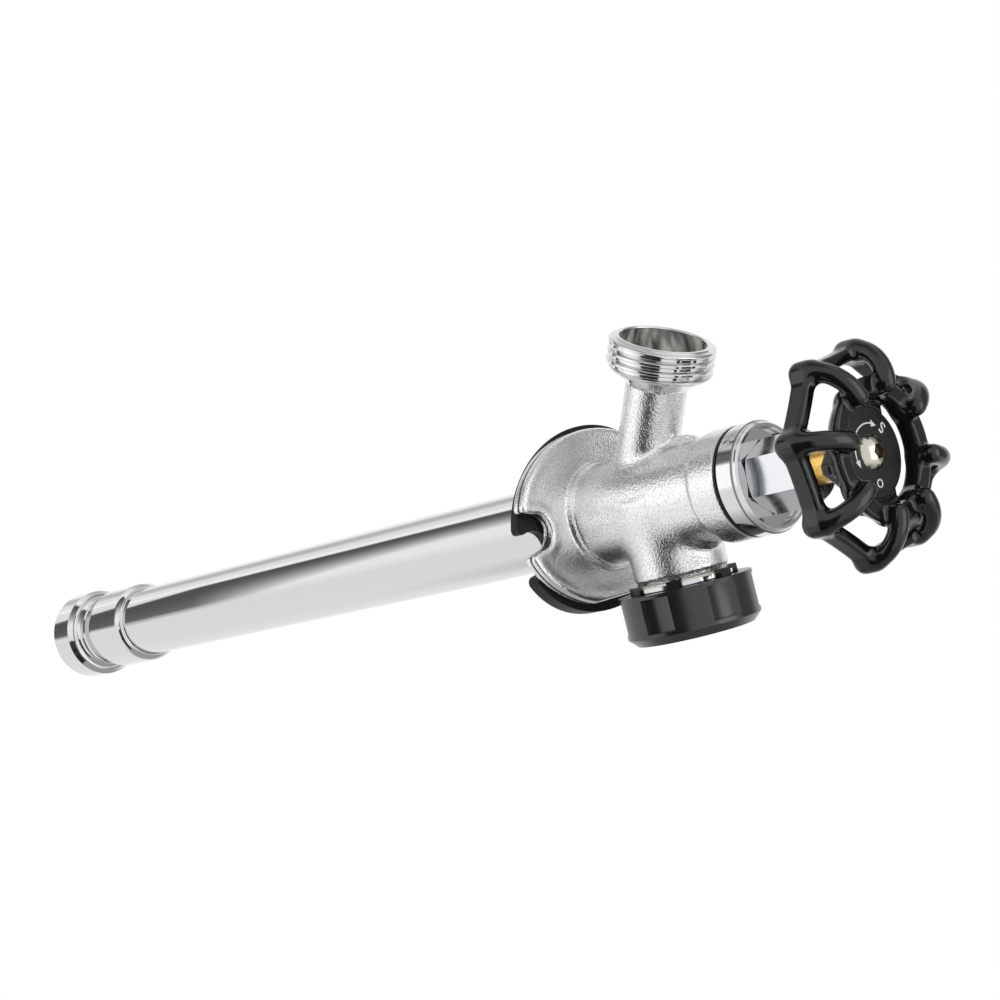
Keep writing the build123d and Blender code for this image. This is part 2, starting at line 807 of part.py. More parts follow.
# Breaker insert: a sleeve in the branch with an air web above the poppet
with BuildPart() as breaker_insert:
    with BuildSketch(branch_profile_plane):
        with BuildLine():
            Polyline(
                (insert_bore_radius, poppet_seat_bottom),
                (insert_radius, poppet_seat_bottom),
                (insert_radius, insert_o_ring_z - insert_o_ring_wire / 2 - seat_gap),
                (branch_bore_radius - insert_o_ring_wire, insert_o_ring_z - insert_o_ring_wire / 2 - seat_gap),
                (branch_bore_radius - insert_o_ring_wire, insert_o_ring_z + insert_o_ring_wire / 2 + seat_gap),
                (insert_radius, insert_o_ring_z + insert_o_ring_wire / 2 + seat_gap),
                (insert_radius, insert_seat),
                (insert_flange_radius, insert_seat),
                (insert_flange_radius, insert_top),
                (air_well_radius, insert_top),
                (air_well_radius, insert_web_top),
                (insert_guide_radius, insert_web_top),
                (insert_guide_radius, web_bottom),
                (insert_bore_radius, web_bottom),
                close=True,
            )
        make_face()
    revolve(axis=branch_axis)
    with BuildSketch(Plane.XY.offset(web_bottom - overrun)):
        with Locations((0, branch_y)):
            with PolarLocations(vent_circle, vent_count):
                Circle(vent_radius)
    extrude(amount=insert_web_thick + 2 * overrun, mode=Mode.SUBTRACT)
breaker_insert.part.label = "breaker_insert"
export_step(breaker_insert.part, "parts/breaker_insert.step")

# O-ring in the insert's groove
with BuildPart() as insert_o_ring:
    with BuildSketch(branch_profile_plane):
        with Locations((branch_bore_radius - insert_o_ring_wire / 2, insert_o_ring_z)):
            Circle(insert_o_ring_wire / 2 - seat_gap / 2)
    revolve(axis=branch_axis)
insert_o_ring.part.label = "insert_o_ring"
export_step(insert_o_ring.part, "parts/insert_o_ring.step")

# Seat ring that the poppet rests on
with BuildPart() as poppet_seat:
    with BuildSketch(Plane.XY.offset(poppet_seat_bottom)):
        with Locations((0, branch_y)):
            Circle(insert_bore_radius - seat_gap)
            Circle(poppet_seat_bore, mode=Mode.SUBTRACT)
    extrude(amount=poppet_seat_thick)
poppet_seat.part.label = "poppet_seat"
export_step(poppet_seat.part, "parts/poppet_seat.step")

# Poppet: a disc that the water lifts, with a stem guided by the insert's web
with BuildPart() as breaker_poppet:
    with BuildSketch(Plane.XY.offset(poppet_bottom)):
        with Locations((0, branch_y)):
            Circle(poppet_radius)
    extrude(amount=poppet_thick)
    with BuildSketch(Plane.XY.offset(seal_bottom)):
        with Locations((0, branch_y)):
            Circle(poppet_stem_radius)
    extrude(amount=insert_web_top + poppet_stem_rise - seal_bottom)
breaker_poppet.part.label = "breaker_poppet"
export_step(breaker_poppet.part, "parts/breaker_poppet.step")

# Rubber seal on top of the poppet
with BuildPart() as poppet_seal:
    with BuildSketch(Plane.XY.offset(seal_bottom)):
        with Locations((0, branch_y)):
            Circle(poppet_seal_radius)
            Circle(poppet_stem_radius + seat_gap, mode=Mode.SUBTRACT)
    extrude(amount=poppet_seal_thick)
poppet_seal.part.label = "poppet_seal"
export_step(poppet_seal.part, "parts/poppet_seal.step")

# Breaker cap: a cup with hollowed grip panels and hooked tabs under the insert's flange
panel_chord = cap_radius * sin(radians(cap_panel_angle / 2))
panel_radius = (panel_chord**2 + cap_panel_depth**2) / (2 * cap_panel_depth)
panel_centre = cap_radius * cos(radians(cap_panel_angle / 2)) - cap_panel_depth + panel_radius
panel_height = cap_height - cap_edge - 2 * cap_rim
tab_inner = insert_flange_radius + tab_gap
tab_bottom = insert_seat - tab_gap - tab_hook_height
with BuildPart() as breaker_cap:
    with BuildSketch(Plane.XY.offset(cap_bottom)):
        with Locations((0, branch_y)):
            Circle(cap_radius)
    extrude(amount=cap_height)
    chamfer(breaker_cap.faces().sort_by(Axis.Z)[-1].edges(), length=cap_edge)
    with BuildSketch(Plane.XY.offset(cap_bottom + cap_rim)):
        with Locations((0, branch_y)):
            with PolarLocations(panel_centre, cap_panels, start_angle=cap_panel_turn):
                Circle(panel_radius)
    extrude(amount=panel_height, mode=Mode.SUBTRACT)
    with BuildSketch(Plane.XY.offset(cap_bottom - overrun)):
        with Locations((0, branch_y)):
            Circle(cap_radius - cap_wall - cap_panel_depth)
    extrude(amount=cap_height - cap_roof + overrun, mode=Mode.SUBTRACT)
    with BuildSketch(Plane.XY.offset(tab_bottom)):
        with Locations((0, branch_y)):
            with PolarLocations(tab_inner, cap_panels, start_angle=tab_turn):
                Rectangle(tab_thick, tab_width, align=(Align.MIN, Align.CENTER))
    extrude(amount=cap_top - cap_roof - tab_bottom)
    with BuildSketch(Plane.XY.offset(tab_bottom)):
        with Locations((0, branch_y)):
            with PolarLocations(tab_inner - tab_hook, cap_panels, start_angle=tab_turn):
                Rectangle(tab_hook + tab_thick, tab_width, align=(Align.MIN, Align.CENTER))
    extrude(amount=tab_hook_height)
breaker_cap.part.label = "breaker_cap"
export_step(breaker_cap.part, "parts/breaker_cap.step")


def rim_point(radius, lobe):
    # A point of the rim's outline in the wheel's plane, lobe counting round from the first tip
    angle = radians(wheel_turn + 360 * lobe / wheel_lobes)
    return (radius * cos(angle), radius * sin(angle))


# Handwheel: wavy rim, eight arching ribs, front ring, hub and spokes in one casting
with BuildPart() as handwheel:
    with BuildSketch(station(rim_back)) as rim_outline:
        with BuildLine():
            for lobe in range(wheel_lobes):
                ThreePointArc(
                    rim_point(rim_tip_radius, lobe),
                    rim_point(rim_dip_radius, lobe + 0.5),
                    rim_point(rim_tip_radius, lobe + 1),
                )
        make_face()
        fillet(rim_outline.vertices(), radius=rim_tip_round)
        offset(amount=-rim_thick, mode=Mode.SUBTRACT)
    extrude(amount=rim_length)
    fillet(handwheel.faces().sort_by(Axis.Y)[-1].edges(), radius=rim_edge)
    for lobe in range(wheel_lobes):
        angle = radians(wheel_turn + 360 * lobe / wheel_lobes)
        rib_plane = Plane(
            origin=(0, 0, 0),
            x_dir=(cos(angle), 0, sin(angle)),
            z_dir=Vector(cos(angle), 0, sin(angle)).cross(Vector(0, 1, 0)),
        )
        with BuildLine(rib_plane) as rib_path:
            FilletPolyline(
                (rib_root, rim_back - rib_rim_cover),
                (rib_root, rib_front),
                (front_ring_inner, rib_front),
                radius=rib_bend,
            )
        with BuildSketch(Plane(origin=rib_path.line @ 0, z_dir=rib_path.line % 0)):
            Circle(rib_radius)
        sweep(path=rib_path.line)
    with BuildSketch(station(ring_front)):
        with PolarLocations(0, wheel_lobes, start_angle=wheel_turn):
            with Locations((ring_middle, 0)):
                Rectangle(front_ring_outer - front_ring_inner, 2 * rib_radius)
    extrude(amount=ring_front - rib_front)
    with BuildSketch(Plane.XY) as ring_profile:
        with BuildLine():
            Polyline(
                (front_ring_inner, ring_back),
                (front_ring_back_radius, ring_back),
                (front_ring_outer, ring_back - front_ring_slope),
                (front_ring_outer, ring_front),
                (front_ring_inner, ring_front),
                close=True,
            )
        make_face()
        fillet(ring_profile.vertices(), radius=front_ring_round)
    revolve(axis=Axis.Y)
    with BuildSketch(station(spoke_back)):
        with PolarLocations(0, spoke_count, start_angle=spoke_turn):
            Rectangle(spoke_reach, spoke_width, align=(Align.MIN, Align.CENTER))
    extrude(amount=spoke_thick)
    with BuildSketch(Plane.XY):
        with BuildLine():
            Polyline(
                (0, hub_rear),
                (hub_rear_radius, hub_rear),
                (hub_front_radius, hub_front + hub_disc_thick),
                (hub_disc_radius, hub_front + hub_disc_thick),
                (hub_disc_radius, hub_front),
                (0, hub_front),
                close=True,
            )
        make_face()
    revolve(axis=Axis.Y)
    with BuildSketch(station(hub_front)):
        Circle(plate_radius + seat_gap)
    extrude(amount=plate_thick + overrun, mode=Mode.SUBTRACT)
    with BuildSketch(station(hub_rear + overrun)):
        Rectangle(stem_square + 2 * hub_square_gap, stem_square + 2 * hub_square_gap)
    extrude(amount=hub_rear - hub_front + 2 * overrun, mode=Mode.SUBTRACT)
handwheel.part.label = "handwheel"
export_step(handwheel.part, "parts/handwheel.step")

# Index plate on the hub
with BuildPart() as index_plate:
    with BuildSketch(station(hub_front)):
        Circle(plate_radius)
        Circle(screw_radius + seat_gap, mode=Mode.SUBTRACT)
    extrude(amount=plate_thick)
index_plate.part.label = "index_plate"
export_step(index_plate.part, "parts/index_plate.step")

# Handle screw with a domed head and a socket drive
dome_radius = (screw_head_radius**2 + screw_head_height**2) / (2 * screw_head_height)
with BuildPart() as handle_screw:
    with BuildSketch(Plane.XY):
        with BuildLine():
            head_edge = Line((screw_radius, plate_front), (screw_head_radius, plate_front))
            RadiusArc(head_edge @ 1, (0, plate_front - screw_head_height), dome_radius)
            Polyline(
                (0, plate_front - screw_head_height),
                (0, plate_front + screw_length),
                (screw_radius, plate_front + screw_length),
                (screw_radius, plate_front),
            )
        make_face()
    revolve(axis=Axis.Y)
    with BuildSketch(station(plate_front - screw_head_height + screw_drive_depth)):
        RegularPolygon(screw_drive_radius, screw_drive_sides)
    extrude(amount=screw_drive_depth + overrun, mode=Mode.SUBTRACT)
handle_screw.part.label = "handle_screw"
export_step(handle_screw.part, "parts/handle_screw.step")
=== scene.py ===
# %% The frame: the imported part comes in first, and everything else is placed by it
import json
import math

import bpy
import numpy as np
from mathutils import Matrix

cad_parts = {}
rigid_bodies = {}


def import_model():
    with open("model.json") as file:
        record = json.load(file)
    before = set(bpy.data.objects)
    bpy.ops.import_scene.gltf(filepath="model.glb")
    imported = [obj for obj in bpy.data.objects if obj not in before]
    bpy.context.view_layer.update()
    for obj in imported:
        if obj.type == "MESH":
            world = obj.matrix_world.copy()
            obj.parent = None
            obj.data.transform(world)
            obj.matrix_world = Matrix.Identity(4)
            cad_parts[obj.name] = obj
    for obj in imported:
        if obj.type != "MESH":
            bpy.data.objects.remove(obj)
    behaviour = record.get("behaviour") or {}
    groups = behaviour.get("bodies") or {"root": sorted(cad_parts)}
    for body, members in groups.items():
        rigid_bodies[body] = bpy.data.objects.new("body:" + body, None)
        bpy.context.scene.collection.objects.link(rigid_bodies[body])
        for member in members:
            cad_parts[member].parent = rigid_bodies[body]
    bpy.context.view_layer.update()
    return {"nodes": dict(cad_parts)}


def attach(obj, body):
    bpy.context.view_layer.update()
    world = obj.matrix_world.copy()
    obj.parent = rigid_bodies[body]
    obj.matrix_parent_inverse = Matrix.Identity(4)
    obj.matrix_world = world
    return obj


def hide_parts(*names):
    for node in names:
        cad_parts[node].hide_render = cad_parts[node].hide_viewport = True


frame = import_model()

import openvdb
from mathutils import Matrix, Vector

node = frame["nodes"]

# %% [markdown]
# # A frost free sillcock in Blender
#
# The real thing is an outdoor hose tap with a long chromed tube that reaches into the warm side of a wall.
# The CAD nodes are already here, in metres, with the tube along +Y and the handwheel facing -Y. What is
# left is what makes a tap look like a tap: bright metal that mirrors a studio, grainy cast metal beside it,
# thick black enamel on the wheel, and small marks on the plate. First come the small helpers that every
# later cell uses.

# %% Helpers: millimetres, colours and objects
MM = 0.001
WHITE = (1.0, 1.0, 1.0, 1.0)


def linear(code):
    """sRGB hex to linear RGBA: a channel c becomes ((c + 0.055) / 1.055) ** 2.4, or c / 12.92 when dark."""
    channels = [int(code[i : i + 2], 16) / 255 for i in (1, 3, 5)]
    return tuple(c / 12.92 if c <= 0.04045 else ((c + 0.055) / 1.055) ** 2.4 for c in channels) + (1.0,)


def placed(name, data):
    """A new object in the scene, made of a mesh, a curve, a lamp or a camera."""
    made = bpy.data.objects.new(name, data)
    bpy.context.scene.collection.objects.link(made)
    return made


def sheet_mesh(name, points, faces, smooth=False):
    """An object from an array of points, in metres, and a list with the corners of each face."""
    mesh = bpy.data.meshes.new(name)
    mesh.from_pydata(points.tolist(), [], faces)
    mesh.polygons.foreach_set("use_smooth", np.full(len(mesh.polygons), smooth))
    mesh.update()
    return placed(name, mesh)


def grid_faces(rows, columns, close_rows=False, close_columns=False):
    """The corners of the faces between the points of a grid, which may close on itself either way."""
    row_steps, column_steps = np.arange(rows - 1 + close_rows), np.arange(columns - 1 + close_columns)
    i, j = np.meshgrid(row_steps, column_steps, indexing="ij")
    corners = [((i + a) % rows) * columns + (j + b) % columns for a, b in ((0, 0), (0, 1), (1, 1), (1, 0))]
    return np.stack([c.ravel() for c in corners], -1).tolist()


# %% Helpers: shader nodes


def empty_tree(owner):
    """The node tree of a material or of the world, with nothing in it."""
    owner.use_nodes = True
    owner.node_tree.nodes.clear()
    return owner.node_tree


def add(tree, kind, inputs=None, **settings):
    """Adds a node with its settings. Each input is a value, or the output of another node that feeds it."""
    made = tree.nodes.new(kind)
    for name, value in settings.items():
        setattr(made, name, value)
    for socket, source in (inputs or {}).items():
        if isinstance(source, bpy.types.NodeSocket):
            tree.links.new(source, made.inputs[socket])
        else:
            made.inputs[socket].default_value = source
    return made


def maths(tree, operation, *terms):
    """The result of a Math node. Each term is a number or the output of another node."""
    return add(tree, "ShaderNodeMath", dict(enumerate(terms)), operation=operation).outputs[0]


def distance_off(tree, value, middle):
    """How far a value is from the middle, on either side."""
    return maths(tree, "ABSOLUTE", maths(tree, "SUBTRACT", value, middle))


def gap(tree, place, point):
    """The distance, in metres, from the coordinates to a point."""
    return add(tree, "ShaderNodeVectorMath", {0: place, 1: point}, operation="DISTANCE").outputs["Value"]


def ramp(tree, value, low, high, to_low=0.0, to_high=1.0, **settings):
    """From low to high, the value becomes to_low to to_high. Beyond either end it stays there."""
    ends = {"Value": value, "From Min": low, "From Max": high, "To Min": to_low, "To Max": to_high}
    return add(tree, "ShaderNodeMapRange", ends, **settings).outputs[0]


def blend(tree, factor, tone_0, tone_1):
    """A colour between two, each linear RGBA or an output: tone_0 where factor is 0, tone_1 where it is 1."""
    return add(tree, "ShaderNodeMix", {0: factor, 6: tone_0, 7: tone_1}, data_type="RGBA").outputs[2]


def glow(tree, strength):
    """Makes a tree into plain white light of that strength, as the cards of the studio have."""
    light = add(tree, "ShaderNodeEmission", {"Color": WHITE, "Strength": strength})
    add(tree, "ShaderNodeOutputMaterial", {"Surface": light.outputs[0]})


def grain_per(size_mm):
    """The Scale of a texture on Object coordinates, in metres, whose features are size_mm across."""
    return 1 / (size_mm * MM)


def new_material(name, base, metallic, roughness, paint=None, shine=0.5):
    """A material with one Principled shader. Returns the material, its tree, the shader and the coordinates.

    paint, if given, is a function of the tree and the coordinates. Its result replaces the base colour.
    """
    material = bpy.data.materials.new(name)
    tree = empty_tree(material)
    look = {"Base Color": linear(base), "Metallic": metallic, "Roughness": roughness}
    shader = add(tree, "ShaderNodeBsdfPrincipled", look | {"Specular IOR Level": shine})
    add(tree, "ShaderNodeOutputMaterial", {"Surface": shader.outputs["BSDF"]})
    place = add(tree, "ShaderNodeTexCoord").outputs["Object"]
    if paint:
        tree.links.new(paint(tree, place), shader.inputs["Base Color"])
    return material, tree, shader, place


MOST_NOISE = (0.3, 0.7)


def worked_skin(tree, shader, noise, low, high, strength, depth_mm, height=None):
    """The noise moves the roughness from low to high. It, or another height, also tilts the surface."""
    tree.links.new(ramp(tree, noise, *MOST_NOISE, low, high), shader.inputs["Roughness"])
    tilt = {"Strength": strength, "Distance": depth_mm * MM, "Height": noise if height is None else height}
    tree.links.new(add(tree, "ShaderNodeBump", tilt).outputs[0], shader.inputs["Normal"])


# %% [markdown]
# ## The studio
#
# Polished metal has no colour of its own to speak of. It shows the room, so the room is built before the
# metal. A catalogue photograph of a tap is taken inside white walls with a few dark and grey cards, and
# each card becomes one band on the tube. Here the world is white, a pale floor lies below, and the cards
# are cut to the bands that a round tube shows. The camera of the photograph looks at the tap upside down,
# so it is rolled nearly half a turn.

# %% The camera, fitted to the photograph
camera_data = bpy.data.cameras.new("photo_camera")
camera_data.lens, camera_data.sensor_width = 72.0, 36.0
camera_data.clip_start, camera_data.clip_end = 0.01, 20.0
camera = placed("photo_camera", camera_data)
image_right = Vector((-0.70345, -0.66912, 0.23965)).normalized()
image_up = Vector((-0.16839, -0.17068, -0.97083))
backward = image_right.cross(image_up).normalized()
image_up = backward.cross(image_right)
turned = Matrix((image_right, image_up, backward)).transposed().to_4x4()
camera.matrix_world = Matrix.Translation((0.3749, -0.3624, -0.0064)) @ turned
bpy.context.scene.camera = camera
print("camera looks along", [round(-v, 3) for v in backward])

# %% The world: white to the camera and to mirrors, a plain level of light for everything else
WORLD_LEVEL = 0.62
world = bpy.data.worlds.new("studio_white")
bpy.context.scene.world = world
tree = empty_tree(world)
ray = add(tree, "ShaderNodeLightPath").outputs
seen = maths(tree, "MAXIMUM", ray["Is Camera Ray"], ray["Is Glossy Ray"])
seen = maths(tree, "MAXIMUM", seen, ray["Is Transmission Ray"])
level = ramp(tree, seen, 0.0, 1.0, WORLD_LEVEL, 1.0)
light = add(tree, "ShaderNodeBackground", {"Color": WHITE, "Strength": level})
add(tree, "ShaderNodeOutputWorld", {"Surface": light.outputs[0]})
bpy.context.scene.view_settings.view_transform = "Standard"
print("world level", WORLD_LEVEL)

# %% [markdown]
# ### The floor
#
# The floor is pale and takes the tap's faint shadow near the middle. Further out it turns into plain white
# light, so that no horizon shows, and in mirrors it is white everywhere.

# %% The floor
FLOOR_Z, FLOOR_HALF = -0.25, 3.0
WHITE_FROM, WHITE_TO, WHITE_IN_MIDDLE = 0.10, 0.30, 0.75
floor_points = np.array([[-1, -1, 0], [1, -1, 0], [1, 1, 0], [-1, 1, 0]]) * FLOOR_HALF + (0, 0, FLOOR_Z)
floor = sheet_mesh("floor", floor_points, [[0, 1, 2, 3]])
floor_paint = bpy.data.materials.new("pale_floor")
tree = empty_tree(floor_paint)
place = add(tree, "ShaderNodeTexCoord").outputs["Object"]
off_middle = gap(tree, place, (0.0, 0.0, FLOOR_Z))
far = ramp(tree, off_middle, WHITE_FROM, WHITE_TO, WHITE_IN_MIDDLE, 1.0, interpolation_type="SMOOTHSTEP")
ray = add(tree, "ShaderNodeLightPath").outputs
mirrored = maths(tree, "MAXIMUM", ray["Is Glossy Ray"], ray["Is Transmission Ray"])
plain = maths(tree, "MAXIMUM", maths(tree, "MULTIPLY", ray["Is Camera Ray"], far), mirrored)
paint = add(tree, "ShaderNodeBsdfDiffuse", {"Color": linear("#F6F6F4")}).outputs[0]
white = add(tree, "ShaderNodeEmission", {"Color": WHITE, "Strength": 1.0}).outputs[0]
both = add(tree, "ShaderNodeMixShader", {0: plain, 1: paint, 2: white})
add(tree, "ShaderNodeOutputMaterial", {"Surface": both.outputs[0]})
floor.data.materials.append(floor_paint)
print("floor at", FLOOR_Z)

# %% [markdown]
# ### The card for the tube
#
# A ray that leaves the camera and bounces off a straight tube always leaves on the same cone, so a card
# bent round the tube's own axis gives straight bands. The card is a part of a cylinder, 150 mm round the
# axis, that starts beside the tube and reaches far behind it. Only mirrors see it. Its brightness is a
# formula of the angle round the axis, in degrees, and of the place along it:
#
# - a dark band with one sharp edge. It gets brighter as the square of the angle from its darkest line, more
#   slowly further along the card, where it also turns away round the tube
# - white on the other side of that edge, with a brighter strip next to it and a grey dip further on

# %% The bent card
CARD_RADIUS, CARD_ANGLES, CARD_SPAN, CARD_ROWS, CARD_COLUMNS = 0.15, (-172, 4), (0.12, 0.62), 60, 12


def bent_card(name, radius, angles, span):
    """Part of a cylinder round the Y axis: point(a, y) = (radius cos a, y, radius sin a) on a grid."""
    a = np.radians(np.linspace(*angles, CARD_ROWS))[:, None]
    y = np.linspace(*span, CARD_COLUMNS)[None, :]
    points = np.stack(np.broadcast_arrays(radius * np.cos(a), y, radius * np.sin(a)), -1)
    return sheet_mesh(name, points.reshape(-1, 3), grid_faces(CARD_ROWS, CARD_COLUMNS))


def only_in_mirrors(card):
    """A card belongs to the studio: the camera, shadows and diffuse light pass it. Only mirrors show it."""
    card.visible_camera = card.visible_shadow = card.visible_diffuse = card.visible_transmission = False


tube_card = bent_card("tube_card", CARD_RADIUS, CARD_ANGLES, CARD_SPAN)
only_in_mirrors(tube_card)
print("tube card", CARD_RADIUS, "m round the tube")

# %% The bent card's paint: angles in degrees, places along the tube in metres
DARKEST_AT, DARKEST, BRIGHTEST = -74.0, 0.11, 1.12
BAND_EDGE, BAND_END = (-79.0, -75.0), (-15.0, -6.0)
RISE_SPAN, RISE = (0.20, 0.37), (0.00065, 0.00003)
SHIFT_SPAN, SHIFT = (0.37, 0.49), (0.0, 26.0)
STRIP_AT, STRIP_HALF, STRIP_GAIN = -84.0, 5.0, 0.18
DIP_AT, DIP_WIDTH, DIP_DEPTH = -120.0, 30.0, 0.40

card_paint = bpy.data.materials.new("tube_card_paint")
tree = empty_tree(card_paint)
where = add(tree, "ShaderNodeSeparateXYZ", {0: add(tree, "ShaderNodeTexCoord").outputs["Object"]}).outputs
turn = maths(tree, "MULTIPLY", maths(tree, "ARCTAN2", where["Z"], where["X"]), 180 / math.pi)
bent = maths(tree, "SUBTRACT", turn, ramp(tree, where["Y"], *SHIFT_SPAN, *SHIFT))
off_darkest = maths(tree, "SUBTRACT", bent, DARKEST_AT)
squared = maths(tree, "MULTIPLY", off_darkest, off_darkest)
dark = maths(tree, "MULTIPLY_ADD", squared, ramp(tree, where["Y"], *RISE_SPAN, *RISE), DARKEST)
dark = maths(tree, "MINIMUM", dark, BRIGHTEST)
in_band = maths(tree, "MULTIPLY", ramp(tree, bent, *BAND_EDGE), ramp(tree, turn, *BAND_END, 1.0, 0.0))
off_dip = maths(tree, "DIVIDE", maths(tree, "SUBTRACT", turn, DIP_AT), DIP_WIDTH)
dip = maths(tree, "SUBTRACT", DIP_DEPTH, maths(tree, "MULTIPLY", off_dip, off_dip))
dip = maths(tree, "MAXIMUM", dip, 0.0)
strip = maths(tree, "COMPARE", turn, STRIP_AT, STRIP_HALF)
pale = maths(tree, "SUBTRACT", maths(tree, "MULTIPLY_ADD", strip, STRIP_GAIN, 1.0), dip)
shade = add(tree, "ShaderNodeMix", {0: in_band, 2: pale, 3: dark}, data_type="FLOAT")
glow(tree, shade.outputs[0])
tube_card.data.materials.append(card_paint)
print("tube card darkest at", DARKEST_AT, "degrees")

# %% [markdown]
# ### The room round everything else
#
# A real studio isn't white all round: the camera and its operator are dark, the strip lights are brighter
# than the walls, and floor and ceiling are greyer. The room is one closed card whose paint depends only on
# the direction from the middle of the tap: a pale grey plus soft-edged patches. Each patch has an azimuth
# and its half width, an elevation and its half height, the softness of its edge, all in degrees, and what
# it adds.

# %% The room card
ROOM_RADIUS, ROOM_LOW, ROOM_LEVEL, ROOM_DARKEST = 0.8, -0.245, 0.97, 0.03
ROOM_ROWS, ROOM_COLUMNS, ROOM_TOP = 37, 72, 89.5
PATCHES = {
    "camera": (-13, 18, 5, 16, 8, -0.92),
    "operator": (-9, 21, 40, 14, 5, -0.92),
    "dark_flag": (-146, 15, -8, 34, 10, -0.62),
    "dark_flag_below": (-68, 20, -66, 10, 12, -0.35),
    "dark_ceiling": (0, 180, 78, 20, 24, -0.55),
    "dark_table": (0, 180, -84, 14, 22, -0.35),
    "dark_edge": (58, 26, -47, 7, 6, -0.8),
    "strip_light": (-98, 11, 2, 20, 10, 1.2),
    "second_light": (30, 12, -18, 16, 10, 0.4),
}

round_z = np.radians(np.linspace(0, 360, ROOM_COLUMNS + 1)[:-1])[None, :]
up_z = np.radians(np.linspace(-ROOM_TOP, ROOM_TOP, ROOM_ROWS))[:, None]
level_part = np.cos(up_z)
unit = np.stack([level_part * np.cos(round_z), level_part * np.sin(round_z), np.sin(up_z) + 0 * round_z], -1)
down = unit[..., 2:] < 0
reach = np.where(down, ROOM_LOW / np.where(down, unit[..., 2:], -1.0), ROOM_RADIUS)
reach = np.minimum(ROOM_RADIUS, reach)
room_faces = grid_faces(ROOM_ROWS, ROOM_COLUMNS, close_columns=True)
room = sheet_mesh("room_card", (unit * reach).reshape(-1, 3), room_faces)
only_in_mirrors(room)
print("room card of", len(room_faces), "faces")

# %% The room card's paint


def pulse(tree, angle, middle, half_size, soft):
    """1 where an angle, in radians, is within half_size degrees of the middle, then 0 past a soft edge."""
    off = distance_off(tree, angle, math.radians(middle))
    low, high = math.radians(half_size), math.radians(half_size + soft)
    return ramp(tree, off, low, high, 1.0, 0.0, interpolation_type="SMOOTHSTEP")


room_paint = bpy.data.materials.new("room_card_paint")
tree = empty_tree(room_paint)
place = add(tree, "ShaderNodeTexCoord").outputs["Object"]
outward = add(tree, "ShaderNodeVectorMath", {0: place}, operation="NORMALIZE").outputs[0]
axis = add(tree, "ShaderNodeSeparateXYZ", {0: outward}).outputs
heading = maths(tree, "ARCTAN2", axis["Y"], axis["X"])
rise = maths(tree, "ARCSINE", axis["Z"])
total = ROOM_LEVEL
for azimuth, half_width, elevation, half_height, soft, amount in PATCHES.values():
    across = pulse(tree, heading, azimuth, half_width, soft)
    upwards = pulse(tree, rise, elevation, half_height, soft)
    total = maths(tree, "MULTIPLY_ADD", maths(tree, "MULTIPLY", across, upwards), amount, total)
glow(tree, maths(tree, "MAXIMUM", total, ROOM_DARKEST))
room.data.materials.append(room_paint)
print("room card with", len(PATCHES), "patches")

# %% Lamps: a soft one from the side that is up in the photograph, and a weaker one from the other side


def soft_lamp(name, at, towards, size, watts):
    """A square area lamp at a point, turned to face another point."""
    data = bpy.data.lights.new(name, "AREA")
    data.shape, data.size, data.energy = "SQUARE", size, watts
    lamp = placed(name, data)
    lamp.rotation_mode = "QUATERNION"
    lamp.location = at
    lamp.rotation_quaternion = (Vector(towards) - Vector(at)).to_track_quat("-Z", "Y")
    lamp.visible_camera = lamp.visible_glossy = False


TAP_MIDDLE = (0.0, -0.03, 0.0)
soft_lamp("key_lamp", (0.25, -0.20, -0.22), TAP_MIDDLE, 0.16, 1.6)
soft_lamp("side_lamp", (0.10, -0.45, 0.35), TAP_MIDDLE, 0.20, 1.2)
print("two soft lamps")

# %% [markdown]
# ## Metals
#
# The tube, the inlet fitting, the bonnet and the packing nut are brass with bright chrome over it. Chrome's
# colour is a slightly cool grey of about 65 %, and polished parts keep fine draw lines along the tube or
# turning lines round an axis. The lines are a noise stretched along the direction of the work, which moves
# the roughness a little. The step at the front of the bonnet gets a thin line of painted shadow, and the nut
# is softer because it is milled and not polished.

# %% Bright chrome, drawn, turned and milled
CHROME, STEP_SHADOW_GREY = "#D8D9D9", "#7E8082"
# The bonnet's step gets a painted shadow line: dark within STEP_DARK mm of STEP_Y, gone by STEP_SOFT mm
STEP_Y, STEP_DARK, STEP_SOFT = -61.68, 0.14, 0.28


def bright_chrome(name, base, low, high, stretch, strength, paint=None):
    """Chrome over brass. stretch is the noise's size along x, y and z in mm."""
    material, tree, shader, place = new_material(name, base, 1.0, low, paint)
    scaled = add(tree, "ShaderNodeMapping", {"Vector": place, "Scale": tuple(grain_per(s) for s in stretch)})
    lines = add(tree, "ShaderNodeTexNoise", {"Vector": scaled.outputs[0], "Scale": 1.0, "Detail": 3.0})
    worked_skin(tree, shader, lines.outputs[0], low, high, strength, 0.02)
    return material


def step_shadow_paint(tree, place):
    """Chrome with a painted shadow line round it, in the corner where the bonnet has its step."""
    along = add(tree, "ShaderNodeSeparateXYZ", {0: place}).outputs["Y"]
    off_step = distance_off(tree, along, STEP_Y * MM)
    in_step_shadow = ramp(tree, off_step, STEP_DARK * MM, STEP_SOFT * MM, 1.0, 0.0)
    return blend(tree, in_step_shadow, linear(CHROME), linear(STEP_SHADOW_GREY))


drawn, turned = (0.8, 60, 0.8), (6, 0.5, 6)
finish = {
    "drawn": bright_chrome("bright_chrome_on_drawn_brass_tube", CHROME, 0.03, 0.07, drawn, 0.05),
    "turned": bright_chrome("bright_chrome_on_turned_brass", CHROME, 0.04, 0.10, turned, 0.08),
    # The bonnet's chrome, with a painted shadow line at its step
    "stepped": bright_chrome("bright_chrome_with_painted_step_shadow", CHROME, 0.04, 0.10, turned, 0.08, step_shadow_paint),
    "milled": bright_chrome("soft_chrome_on_milled_brass_nut", "#D2D4D6", 0.13, 0.22, (1.2, 1.2, 1.2), 0.10),
    "nozzle": bright_chrome("bright_nickel_on_turned_nozzle", "#DEDEDC", 0.04, 0.08, (3, 3, 3), 0.03),
}
print(", ".join(material.name for material in finish.values()))
